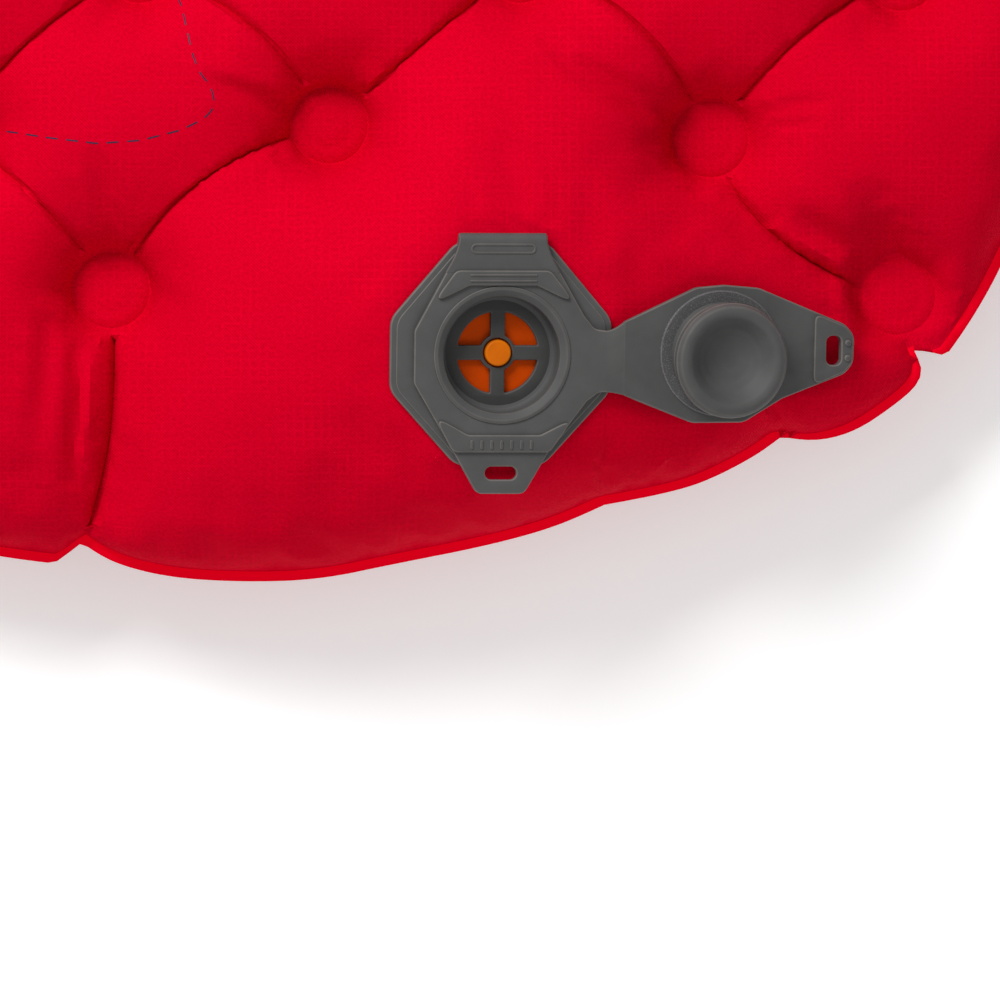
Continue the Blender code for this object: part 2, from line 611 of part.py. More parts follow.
def main():
    for old in list(bpy.data.objects):
        bpy.data.objects.remove(old)
    looks = {
        "fabric_top": material("fabric_top", (0.62, 0.0, 0.02), 0.5),
        "fabric_bottom": material("fabric_bottom", (0.32, 0.0, 0.015), 0.55),
        "weld": material("weld", (0.55, 0.0, 0.02), 0.45),
        "valve_grey": material("valve_grey", (0.10, 0.10, 0.10), 0.55),
        "valve_dark": material("valve_dark", (0.06, 0.06, 0.065), 0.5),
        "port_tpu": material("port_tpu", (0.10, 0.10, 0.10), 0.45),
        "orange_silicone": material("orange_silicone", (0.80, 0.22, 0.0), 0.5),
    }
    top = make_pillow(looks)

    lean = Matrix.Rotation(math.radians(LEAN_RIGHT), 4, "Y") @ Matrix.Rotation(math.radians(LEAN_FRONT), 4, "X")
    place = Matrix.Translation((VALVE_X, VALVE_Y, SEAM_HEIGHT + VALVE_HEIGHT)) @ lean
    valve = empty_at("valve_frame", place)
    make_base(valve, looks)

    hole = turned(
        "panel_hole_cutter", [(0, -12), (PORT_RADIUS + GAP, -12), (PORT_RADIUS + GAP, 6), (0, 6)], looks["weld"]
    )
    hang(valve, hole)
    cut(top, hole)

    flap_origin = Matrix.Translation((0, FLAP_HINGE_V, FLAP_HINGE_W))
    flap_hinge = empty_at("flap_hinge", flap_origin, valve)
    flap_frame = empty_at("flap_frame", flap_origin.inverted(), flap_hinge)
    make_flap(flap_frame, looks)
    make_check_valve(flap_frame, looks)

    hinge_spot = Matrix.Translation((CAP_HINGE_U, PLUG_V / 2, CAP_HINGE_W))
    skew = Matrix.Rotation(-math.radians(CAP_SKEW), 4, "Z")
    cap_hinge = empty_at("cap_hinge", hinge_spot @ skew, flap_frame)
    droop = Matrix.Rotation(math.radians(CAP_SLOPE), 4, "Y")
    cap_frame = empty_at("cap_frame", droop @ (hinge_spot @ skew).inverted(), cap_hinge)
    make_cap(cap_frame, looks)


main()
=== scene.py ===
"""The looks of the inflatable camp pillow: inflated red ripstop panels, their welds, and a grey valve.

Lengths are in millimetres and turned into metres when a mesh is made. The places of the welds and of the
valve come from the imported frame. The valve is drawn in its own directions: u right, v towards the pillow's
middle, and w out of the panel.
"""

import json
import math

import bpy
import numpy as np
from mathutils import Matrix, Vector
from mathutils.bvhtree import BVHTree
from mathutils.geometry import delaunay_2d_cdt, tessellate_polygon


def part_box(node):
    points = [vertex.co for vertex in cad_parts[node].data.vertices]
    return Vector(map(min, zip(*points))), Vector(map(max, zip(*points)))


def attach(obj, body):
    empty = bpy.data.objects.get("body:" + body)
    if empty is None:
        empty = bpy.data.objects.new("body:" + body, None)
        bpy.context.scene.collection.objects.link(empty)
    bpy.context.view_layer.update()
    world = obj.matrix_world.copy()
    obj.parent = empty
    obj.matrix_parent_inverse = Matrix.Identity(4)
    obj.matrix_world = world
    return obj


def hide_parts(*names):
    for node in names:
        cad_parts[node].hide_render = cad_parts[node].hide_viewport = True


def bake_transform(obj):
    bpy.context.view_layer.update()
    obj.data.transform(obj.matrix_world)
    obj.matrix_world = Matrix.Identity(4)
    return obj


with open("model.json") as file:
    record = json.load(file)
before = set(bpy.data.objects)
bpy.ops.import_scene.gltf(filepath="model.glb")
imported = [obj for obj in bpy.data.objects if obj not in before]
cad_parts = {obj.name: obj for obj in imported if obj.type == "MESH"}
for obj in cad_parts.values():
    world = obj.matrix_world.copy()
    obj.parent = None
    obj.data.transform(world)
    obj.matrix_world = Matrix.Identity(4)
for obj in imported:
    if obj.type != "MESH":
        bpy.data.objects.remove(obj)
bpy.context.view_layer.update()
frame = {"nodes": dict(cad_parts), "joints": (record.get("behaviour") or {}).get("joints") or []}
MM = 0.001


# ---- Places taken from the frame ----
def node_middle(node):
    return (Vector(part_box(node)[0]) + Vector(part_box(node)[1])) / 2 / MM


def joint(name):
    return next(j for j in frame["joints"] if j["name"] == name)


SEAM_HEIGHT = node_middle("perimeter_weld").z
TUFTS = [tuple(node_middle(n)[:2]) for n in sorted(frame["nodes"]) if n.startswith("tuft_weld_")]

# ---- Pillow fabric ----
HALF_LENGTH, HALF_WIDTH = 206.0, 151.0  # of the outline before its puckers
OUTLINE_POWER = 2.15
NOTCH_REACH = 0.10  # radians over which a pucker fades
NOTCHES = (
    (204.0, 3.0, 5.0), (158.0, 98.0, 5.0), (68.0, 142.0, 6.0), (-35.0, 149.0, 6.0), (-148.0, 108.0, 5.0),
    (-204.0, 5.0, 5.0), (-152.0, -102.0, 5.0),
)
# The front edge in detail, from left to right; its puckers are the points marked with a 1.
FRONT_EDGE = (
    (-52.5, -146.0, 0), (-45.5, -140.8, 1), (-38.0, -145.8, 0), (-24.0, -149.5, 0), (-6.0, -150.7, 0),
    (14.0, -150.2, 0), (34.0, -146.0, 0), (56.5, -141.6, 0), (73.8, -136.9, 0), (86.4, -131.2, 1),
    (99.6, -128.8, 0), (111.0, -125.8, 0), (124.0, -119.2, 0), (130.9, -114.1, 1), (139.8, -115.3, 0),
    (149.5, -112.8, 0), (158.5, -106.8, 0), (165.0, -101.5, 0), (166.8, -97.0, 0), (164.2, -92.1, 1),
    (168.0, -92.6, 0), (172.5, -93.6, 0),
)
FRONT_FADE = 0.15  # radians
SEAM_WIDTH = 2.5
SEAM_LIFT = 0.45  # each fabric's outer face from the middle plane where they are welded
FABRIC = 0.35  # thickness
WELD_RADIUS = 10.0
WELD_PROFILE = ((9.6, -0.15), (8.8, 0.2), (6.6, 0.3), (5.7, 0.1), (5.0, 0.25), (2.6, 0.3))  # radius, rise
GRID_STEP = 3.2
GRID_ROW = 0.866  # a row's height in even triangles, as a share of the step
FINE_X, FINE_Y = (-70, 170), (-130, -15)  # the stretch that holds the strokes, gridded finer
CREASE_STEP = 2.0
FULLNESS = 0.80  # of the top; 1 is a half-round cell
FULLNESS_BELOW = 1.0
SOFTNESS = 4.5  # how gently the fabric leaves a weld
EDGE_SOFTNESS = 1.5  # the same at the outer seam
VALVE_HOLE = 20.4
VALVE_GRIP = 28.6  # radius of the panel that the valve's base holds flat
ARM_LENGTH, ARM_HALF = 84.0, 17.0  # the cap's arm, which presses on the lobe
ARM_CLEARANCE = 0.8
CAP_SLOPE = 7.0  # degrees that the open cap droops below the flap's plane
CAP_SKEW = 1.1


def plain_radius(angle):
    """Distance from the middle to a smooth edge with plain puckers. The angle may be an array."""
    along = np.abs(np.cos(angle) / HALF_LENGTH) ** OUTLINE_POWER
    across = np.abs(np.sin(angle) / HALF_WIDTH) ** OUTLINE_POWER
    radius = (along + across) ** (-1 / OUTLINE_POWER)
    for x, y, depth in NOTCHES:
        away = np.abs((angle - math.atan2(y, x) + math.pi) % (2 * math.pi) - math.pi)
        radius = radius - depth * np.exp(-away / NOTCH_REACH)
    return radius


def softened(points):
    """The points with every corner but the marked ones cut twice, for a smooth line between puckers."""
    for _ in range(2):
        cut = [points[0]]
        for before, here, after in zip(points, points[1:], points[2:]):
            if here[2]:
                cut.append(here)
            else:
                cut.append((0.25 * before[0] + 0.75 * here[0], 0.25 * before[1] + 0.75 * here[1], 0))
                cut.append((0.25 * after[0] + 0.75 * here[0], 0.25 * after[1] + 0.75 * here[1], 0))
        points = cut + [points[-1]]
    return np.array(points)


FRONT = softened(FRONT_EDGE)
FRONT_ANGLE = np.arctan2(FRONT[:, 1], FRONT[:, 0])
FRONT_STEP = np.hypot(FRONT[:, 0], FRONT[:, 1]) - plain_radius(FRONT_ANGLE)
FRONT_ANGLE = np.concatenate([[FRONT_ANGLE[0] - FRONT_FADE], FRONT_ANGLE, [FRONT_ANGLE[-1] + FRONT_FADE]])
FRONT_STEP = np.concatenate([[0.0], FRONT_STEP, [0.0]])


def outline_radius(angle):
    """Distance from the middle to the pillow's edge, with the front edge's own line."""
    return plain_radius(angle) + np.interp(angle, FRONT_ANGLE, FRONT_STEP)


def inside_edge(points):
    """How far each point lies inside the pillow's edge, along its line from the middle."""
    return outline_radius(np.arctan2(points[:, 1], points[:, 0])) - np.hypot(*points.T)


def nearest(points, others):
    """Each point's distance to the nearest of the others, a few hundred of them at a time."""
    away = np.full(len(points), np.inf)
    for start in range(0, len(others), 400):
        gaps = np.linalg.norm(points[:, None] - others[None, start : start + 400], axis=2)
        away = np.minimum(away, gaps.min(axis=1))
    return away


def from_stroke(points, x1, y1, x2, y2):
    """Each point's share of the way along a stroke, and its distance from the stroke."""
    start, run = np.array((x1, y1)), np.array((x2 - x1, y2 - y1))
    share = np.clip((points - start) @ run / (run @ run), 0, 1)
    return share, np.linalg.norm(points - start - share[:, None] * run, axis=1)


def outline_loop(inset, spacing):
    """Points round the pillow at even spacing, set in from its edge."""
    angles = np.linspace(-math.pi, math.pi, 2881)
    radii = outline_radius(angles) - inset
    dense = np.stack([radii * np.cos(angles), radii * np.sin(angles)], 1)
    run = np.concatenate([[0], np.cumsum(np.linalg.norm(np.diff(dense, axis=0), axis=1))])
    at = np.linspace(0, run[-1], int(run[-1] / spacing), endpoint=False)
    return np.stack([np.interp(at, run, dense[:, 0]), np.interp(at, run, dense[:, 1])], 1)


def ring(centre, radius, count):
    angles = np.arange(count) * 2 * math.pi / count
    return np.stack([centre[0] + radius * np.cos(angles), centre[1] + radius * np.sin(angles)], 1)


# Folds in the fabric: from a tuft, to a tuft or a point, sideways bow, and the share of the skin's free
# height (before its square root) that is left near the fold's ends and in its middle.
NOTCH_FRONT, NOTCH_RIGHT = (-45.0, -141.5), (165.0, -93.0)
FOLDS = (
    (1, 2, 7.5, 0.06, 0.42), (1, 6, -3.0, 0.06, 0.55), (2, 8, -6.0, 0.06, 0.45),
    (2, 9, 0.0, 0.06, 0.45), (3, 9, -8.0, 0.06, 0.42), (3, 10, 4.0, 0.06, 0.5),
    (3, 4, -8.0, 0.03, 0.22), (1, NOTCH_FRONT, 3.5, 0.02, 0.12), (4, NOTCH_RIGHT, 0.0, 0.3, 0.4),
    (5, (-152.0, -102.0), 1.0, 0.1, 0.4), (5, 6, 4.0, 0.06, 0.5), (5, 7, -4.0, 0.06, 0.5),
    (7, 6, 3.0, 0.06, 0.5), (7, (-204.0, 5.0), 2.0, 0.1, 0.4), (6, 8, 3.0, 0.06, 0.5),
    (7, 11, -3.0, 0.06, 0.5), (8, 11, 4.0, 0.06, 0.5), (8, 12, -3.0, 0.06, 0.5),
    (9, 12, 4.0, 0.06, 0.5), (9, 13, 4.0, 0.06, 0.5), (10, 13, -4.0, 0.06, 0.5),
    (10, (204.0, 3.0), 1.0, 0.1, 0.4), (11, 14, 3.0, 0.06, 0.5), (11, 15, -4.0, 0.06, 0.5),
    (12, 15, 4.0, 0.06, 0.5), (12, 16, -3.0, 0.06, 0.5), (13, 16, 4.0, 0.06, 0.5),
    (13, 17, -4.0, 0.06, 0.5), (14, (-148.0, 108.0), 1.0, 0.1, 0.4),
    (15, (-35.0, 149.0), 2.0, 0.1, 0.4), (16, (68.0, 142.0), -2.0, 0.1, 0.4),
    (17, (158.0, 98.0), 1.0, 0.1, 0.4),
)


def fold_lines():
    """Each fold as points from weld to weld, with the share of height kept at each point."""
    lines = []
    for start, end, bow, near, middle in FOLDS:
        a = np.array(TUFTS[start - 1])
        b = np.array(TUFTS[end - 1] if isinstance(end, int) else end)
        length = np.linalg.norm(b - a)
        along = (b - a) / length
        control = (a + b) / 2 + 2 * bow * np.array([-along[1], along[0]])
        t = np.linspace(0, 1, max(int(length / CREASE_STEP), 4))[:, None]
        points = (1 - t) ** 2 * a + 2 * t * (1 - t) * control + t**2 * b
        share = middle - (middle - near) * np.abs(2 * t[:, 0] - 1) ** 2
        lines.append((points, share))
    return lines


class Panel:
    """One fabric panel's plan as triangles, on which its height is worked out as a tight skin's."""

    def __init__(self, valve_centre=None):
        rings = [outline_loop(0, 2.4), outline_loop(SEAM_WIDTH, 2.4), outline_loop(SEAM_WIDTH + 1.2, 2.4)]
        rings.append(outline_loop(SEAM_WIDTH + 3.2, 2.8))
        points = [np.concatenate(rings)]
        self.border = len(rings[0])
        for tuft in TUFTS:
            for radius in (WELD_RADIUS, WELD_RADIUS + 1.4, WELD_RADIUS + 3.4):
                points.append(ring(tuft, radius, 32))
            for radius, _ in WELD_PROFILE:
                points.append(ring(tuft, radius, 32 if radius > 3 else 12))
            points.append(np.array([tuft]))
        if valve_centre is not None:
            points += [ring(valve_centre, VALVE_HOLE, 48), ring(valve_centre, VALVE_GRIP, 60)]
        fixed = np.concatenate(points)
        edges = [(i, (i + 1) % self.border) for i in range(self.border)]
        folds, shares, beside = [], [], []
        count = len(fixed)
        for line, share in fold_lines():
            inner = inside_edge(line) > SEAM_WIDTH + 2.0
            away = np.min([np.hypot(*(line - tuft).T) for tuft in TUFTS], axis=0) > WELD_RADIUS + 1.0
            kept = inner & away
            edges += [(count + i, count + i + 1) for i in range(kept.sum() - 1)]
            count += kept.sum()
            folds.append(line[kept])
            shares.append(share[kept])
            along = np.gradient(line, axis=0)
            across = np.stack([-along[:, 1], along[:, 0]], 1) / np.hypot(*along.T)[:, None]
            for offset in (0.6, 1.5, 3.0):
                beside += [(line + across * offset)[kept], (line - across * offset)[kept]]
        folds, beside = np.concatenate(folds), np.concatenate(beside)
        clear = nearest(fixed, folds) > 1.2
        gap = np.array([np.hypot(*(fixed - tuft).T) for tuft in TUFTS]).min(axis=0)
        ring_left = clear | (gap < WELD_RADIUS + 0.1) | (np.arange(len(fixed)) < len(np.concatenate(rings)))
        self.fold_points, self.fold_shares = folds, np.concatenate(shares)
        grid = self.grid(fixed, np.concatenate([folds, beside]))
        fixed[~ring_left] = fixed[0]  # a ring's point too close to a fold becomes a repeat, which is merged
        beside = self.spread(beside, np.concatenate([fixed, folds]))
        everything = np.concatenate([fixed, folds, beside, grid])
        plan, _, triangles, *_ = delaunay_2d_cdt([Vector(p) for p in everything], edges, [], 1, 1e-5)
        self.plan = np.array([tuple(p) for p in plan])
        self.triangles = np.array([t for t in triangles if len(t) == 3])
        self.angle = np.arctan2(self.plan[:, 1], self.plan[:, 0])
        self.edge = inside_edge(self.plan)
        gaps = np.array([np.hypot(*(self.plan - tuft).T) for tuft in TUFTS])
        self.tuft_gap = gaps.min(axis=0)
        self.weigh()

    @staticmethod
    def spread(points, others):
        """The points that aren't crowded by others or by each other."""
        kept = []
        for point in points:
            if np.hypot(*(others - point).T).min() > 0.5:
                if not kept or np.hypot(*(np.array(kept) - point).T).min() > 0.55:
                    kept.append(point)
        return np.array(kept)

    @staticmethod
    def grid(fixed, folds):
        """Points between the rings and the folds, in even triangles."""
        columns = np.arange(-HALF_LENGTH, HALF_LENGTH, GRID_STEP)
        rows = np.arange(-HALF_WIDTH, HALF_WIDTH, GRID_STEP * GRID_ROW)
        spots = []
        for k, y in enumerate(rows):
            spots.append(np.stack([columns + (k % 2) * GRID_STEP / 2, np.full_like(columns, y)], 1))
        fine_columns = np.arange(*FINE_X, GRID_STEP * 0.4)
        fine_rows = np.arange(*FINE_Y, GRID_STEP * 0.35)
        fine = np.stack(np.meshgrid(fine_columns, fine_rows), -1).reshape(-1, 2)
        near = np.zeros(len(fine), bool)
        for *ends, reach, _ in STROKES:
            near |= from_stroke(fine, *ends)[1] < 2 * reach
        coarse = np.concatenate(spots)
        fine = fine[near]
        taken = {tuple(c) for c in np.round(fine / GRID_STEP).astype(int)}
        coarse = coarse[[tuple(c) not in taken for c in np.round(coarse / GRID_STEP).astype(int)]]
        spots = np.concatenate([coarse, fine])
        close = np.repeat([0.62 * GRID_STEP, 0.25 * GRID_STEP], [len(coarse), len(fine)])
        inside = inside_edge(spots) > SEAM_WIDTH + 5.0
        spots, close = spots[inside], close[inside]
        clear = np.ones(len(spots), bool)
        for tuft in TUFTS:
            clear &= np.hypot(*(spots - tuft).T) > WELD_RADIUS + 5.0
        clear &= nearest(spots, np.concatenate([folds, fixed])) > close
        return spots[clear]

    def weigh(self):
        """Edge weights and point areas for the skin's equation."""
        p, t = self.plan, self.triangles
        pairs, weights = [], []
        for corner in range(3):
            i, j, k = t[:, corner], t[:, (corner + 1) % 3], t[:, (corner + 2) % 3]
            a, b = p[j] - p[i], p[k] - p[i]
            cross = np.abs(a[:, 0] * b[:, 1] - a[:, 1] * b[:, 0])
            weights.append((a * b).sum(1) / np.maximum(cross, 1e-6) / 2)
            pairs.append(np.stack([j, k], 1))
        self.pairs, self.weights = np.concatenate(pairs), np.concatenate(weights)
        area = cross / 6
        self.areas = sum(np.bincount(t[:, c], area, len(p)) for c in range(3))

    def stiffness(self, u):
        i, j = self.pairs.T
        flow = self.weights * (u[i] - u[j])
        return np.bincount(i, flow, len(u)) - np.bincount(j, flow, len(u))

    def solve(self, held, values, load):
        """Height of a skin under even load, held at some points, by conjugate gradients."""
        u = np.where(held, values, 0.0)
        free = ~held
        scale = 1 / np.maximum(np.bincount(self.pairs.ravel(), np.repeat(self.weights, 2), len(u)), 1e-6)
        rest = (load * self.areas - self.stiffness(u)) * free
        step = scale * rest
        size = (rest * step).sum()
        for _ in range(1500):
            pushed = self.stiffness(step) * free
            share = size / (step * pushed).sum()
            u = u + share * step
            rest = rest - share * pushed
            if np.abs(rest).max() < 1e-4:
                break
            new = (rest * scale * rest).sum()
            step = scale * rest + new / size * step
            size = new
        return u

    def smoothed(self, height, held, rounds):
        """The heights evened out between neighbours, away from the held points."""
        i, j = self.pairs.T
        count = np.bincount(self.pairs.ravel(), minlength=len(height))
        for _ in range(rounds):
            total = np.bincount(i, height[j], len(height)) + np.bincount(j, height[i], len(height))
            height = np.where(held, height, 0.5 * height + 0.5 * total / count)
        return height

    def near_fold(self):
        """For each point: whether it is on a fold, and the share of height it keeps there."""
        on, share = np.zeros(len(self.plan), bool), np.ones(len(self.plan))
        for start in range(0, len(self.fold_points), 400):
            part = self.fold_points[start : start + 400]
            gap = np.linalg.norm(self.plan[:, None] - part[None], axis=2)
            closest = gap.argmin(axis=1)
            hit = gap.min(axis=1) < 0.02
            on |= hit
            share[hit] = self.fold_shares[start + closest[hit]]
        return on, share


def smooth_step(value):
    value = np.clip(value, 0, 1)
    return value * value * (3 - 2 * value)


def inflate(panel, fullness, valve_plane=None, valve_centre=None):
    """Height of the inflated panel above its welds."""
    soft = EDGE_SOFTNESS + (SOFTNESS - EDGE_SOFTNESS) * smooth_step((panel.edge - SEAM_WIDTH) / 22)
    held = (panel.edge < SEAM_WIDTH + 0.1) | (panel.tuft_gap < WELD_RADIUS + 0.1)
    values = np.zeros(len(panel.plan))
    free = panel.solve(held, values, 1.0)
    on_fold, share = panel.near_fold()
    values = np.where(on_fold, free * share, 0.0)
    held = held | on_fold
    if valve_plane is not None:
        gap = np.hypot(*(panel.plan - valve_centre).T)
        gripped = gap < VALVE_GRIP + 0.1
        wanted = valve_plane / fullness + soft
        values = np.where(gripped, (wanted**2 - soft**2) / 2, values)
        held = held | gripped
    tension = panel.solve(held, values, 1.0)
    height = fullness * (np.sqrt(2 * np.maximum(tension, 0) + soft**2) - soft)
    return panel.smoothed(height, held, 3)


FOLD_GROOVE = 1.8  # depth of the sharp crease at the bottom of a fold
PUCKER = 0.55  # height of the small gathers round a weld
SEAM_PUCKER = 0.7


def creases(panel):
    """The narrow sharp line at the bottom of each fold, fading out towards the outer seam."""
    away = nearest(panel.plan, panel.fold_points)
    return -FOLD_GROOVE * np.exp(-((away / 0.95) ** 2)) * smooth_step((panel.edge - SEAM_WIDTH - 2) / 8)


def gathers(panel):
    """Small uneven gathers round each weld and along the outer seam."""
    height = np.zeros(len(panel.plan))
    for number, tuft in enumerate(TUFTS):
        offset = panel.plan - tuft
        reach = np.hypot(*offset.T) - WELD_RADIUS
        turn = np.arctan2(offset[:, 1], offset[:, 0])
        wave = np.cos(7 * turn + 1.7 * number) + 0.7 * np.cos(11 * turn + 2.9 * number)
        wave += 0.5 * np.cos(4 * turn - number)
        fade = np.exp(-np.maximum(reach, 0) / 7) * (1 - np.exp(-np.maximum(reach, 0) / 1.5))
        height += PUCKER * wave * fade
    run = panel.angle * 170
    wave = np.sin(run / 3.1 + 2 * np.sin(run / 23)) + 0.8 * np.sin(run / 5.3 + 1.4 * np.sin(run / 31) + 1)
    inside = np.maximum(panel.edge - SEAM_WIDTH, 0)
    height += SEAM_PUCKER * wave * np.exp(-inside / 6) * (1 - np.exp(-inside / 1.5))
    return height


# Soft strokes in the fabric: from x, y to x, y, half-width, and how far they sink, or rise if negative.
STROKES = (
    (76.0, -21.0, 105.0, -34.0, 4.2, 3.6), (80.0, -30.0, 103.0, -40.0, 4.0, -0.9),
    (121.0, -37.0, 139.0, -35.5, 1.8, 0.9), (121.0, -33.0, 141.0, -30.0, 2.0, 0.7),
    (-13.0, -25.0, 8.5, -31.5, 2.6, 1.8), (-17.0, -20.0, 7.0, -28.0, 2.4, -0.8),
    (-40.5, -47.0, -38.0, -64.5, 3.6, 1.7), (-46.0, -88.0, -47.5, -124.0, 2.6, 2.2),
    (-41.8, -90.0, -44.0, -122.0, 1.6, -1.3), (-53.0, -84.0, -57.0, -122.0, 3.2, 1.6),
    (131.5, -62.0, 149.5, -73.5, 2.0, -1.3), (134.0, -57.5, 149.5, -68.5, 3.6, 3.2),
    (150.6, -70.5, 151.6, -88.0, 2.2, 4.2), (146.0, -71.0, 147.5, -90.0, 3.0, -2.6),
    (66.0, -40.0, 62.0, -58.0, 6.0, 0.8), (153.0, -58.0, 158.0, -69.5, 5.0, 5.5),
    (128.0, -104.0, 130.5, -111.0, 1.6, 2.0), (85.0, -121.0, 86.5, -129.0, 1.6, 1.2),
    (100.0, -124.5, 114.0, -119.0, 2.0, 0.6), (140.0, -108.0, 158.0, -98.0, 3.0, 1.0),
    (6.0, -42.5, -14.0, -52.0, 2.6, -0.8),
)


def strokes(panel):
    """The soft strokes' height, each fading towards its ends."""
    height = np.zeros(len(panel.plan))
    for *ends, reach, sink in STROKES:
        share, away = from_stroke(panel.plan, *ends)
        height -= sink * np.exp(-((away / reach) ** 2)) * np.sin(math.pi * (0.12 + 0.76 * share))
    fade = 1 - np.exp(-np.maximum(panel.edge - SEAM_WIDTH, 0) / 2)
    return height * fade * (panel.tuft_gap > WELD_RADIUS)


def weld_emboss(panel):
    """The round welds' raised rings."""
    radii = [WELD_RADIUS] + [r for r, _ in WELD_PROFILE] + [0]
    rises = [0.0] + [h for _, h in WELD_PROFILE] + [0.3]
    return np.interp(panel.tuft_gap, radii[::-1], rises[::-1], right=0.0)


# ---- Valve directions ----
deflate, release = joint("deflate_hinge"), joint("release_press")
VALVE_W = -Vector(release["axis"]).normalized()
VALVE_U = -Vector(deflate["axis"]).normalized()
VALVE_V = VALVE_W.cross(VALVE_U)
FLAP_HINGE_V, FLAP_HINGE_W = 28.6, 1.95
CAP_HINGE_U, CAP_HINGE_V, CAP_HINGE_W = 28.6, -0.55, 4.3
VALVE_AT = Vector(deflate["pos_m"]) / MM - VALVE_V * FLAP_HINGE_V - VALVE_W * FLAP_HINGE_W
VALVE = Matrix.Translation(VALVE_AT) @ Matrix((VALVE_U, VALVE_V, VALVE_W)).transposed().to_4x4()


def mesh_object(name, points, faces, looks, smooth=True):
    """A mesh object from points in millimetres."""
    mesh = bpy.data.meshes.new(name)
    mesh.from_pydata([tuple(float(c) * MM for c in p) for p in points], [],
        [tuple(int(i) for i in f) for f in faces])
    mesh.validate()
    for look in looks:
        mesh.materials.append(look)
    if smooth:
        mesh.shade_smooth()
    made = bpy.data.objects.new(name, mesh)
    bpy.context.scene.collection.objects.link(made)
    return made


CLOTH_FRAMES = 14
CLOTH_CAP = 3.0  # furthest that a point moves


def settle_cloth(piece, held):
    """Lets the panel settle as real cloth under air pressure, held where it is welded or gripped."""
    rest = np.array([v.co[:] for v in piece.data.vertices])
    pins = piece.vertex_groups.new(name="welded")
    pins.add([int(i) for i in np.flatnonzero(held)], 1.0, "REPLACE")
    soft = piece.modifiers.new("settle", "CLOTH")
    cloth = soft.settings
    cloth.quality = 6
    cloth.mass = 0.02
    cloth.tension_stiffness = cloth.compression_stiffness = 8
    cloth.shear_stiffness = 4
    cloth.bending_stiffness = 0.05
    cloth.air_damping = 3
    cloth.use_pressure = True
    cloth.uniform_pressure_force = 0.6
    cloth.shrink_min = -0.012
    cloth.vertex_group_mass = "welded"
    cloth.effector_weights.gravity = 0
    soft.collision_settings.use_collision = False
    soft.point_cache.frame_end = CLOTH_FRAMES
    for frame_number in range(1, CLOTH_FRAMES + 1):
        bpy.context.scene.frame_set(frame_number)
    settled = piece.evaluated_get(bpy.context.evaluated_depsgraph_get()).to_mesh()
    moved = np.array([v.co[:] for v in settled.vertices]) - rest
    piece.modifiers.remove(soft)
    bpy.context.scene.frame_set(1)
    size = np.linalg.norm(moved, axis=1)
    cap = CLOTH_CAP * MM
    moved *= (cap * np.tanh(size / cap) / np.maximum(size, 1e-9))[:, None]
    piece.data.vertices.foreach_set("co", (rest + moved).ravel().astype(np.float32))


EDGE_ROLL = 40.0  # width of the rolled edge, where the cloth runs steeply down to the seam


def lay_cloth(piece, panel):
    """The cloth's own coordinates in millimetres, which keep the weave even down the rolled edge."""
    steps = np.linspace(0, 1, 60)
    climb = np.sqrt(np.clip(1 - (1 - steps) ** 2, 0, 1)) * 30
    extra = np.concatenate([[0], np.cumsum(np.hypot(np.diff(climb), EDGE_ROLL / 59) - EDGE_ROLL / 59)])
    missing = extra[-1] - np.interp(panel.edge / EDGE_ROLL, steps, extra)
    out = panel.plan / np.maximum(np.hypot(*panel.plan.T), 1)[:, None]
    spread = panel.plan + out * missing[:, None]
    values = np.column_stack([spread, np.zeros(len(spread))]).astype(np.float32)
    layer = piece.data.attributes.new("cloth", "FLOAT_VECTOR", "POINT")
    layer.data.foreach_set("vector", values.ravel())


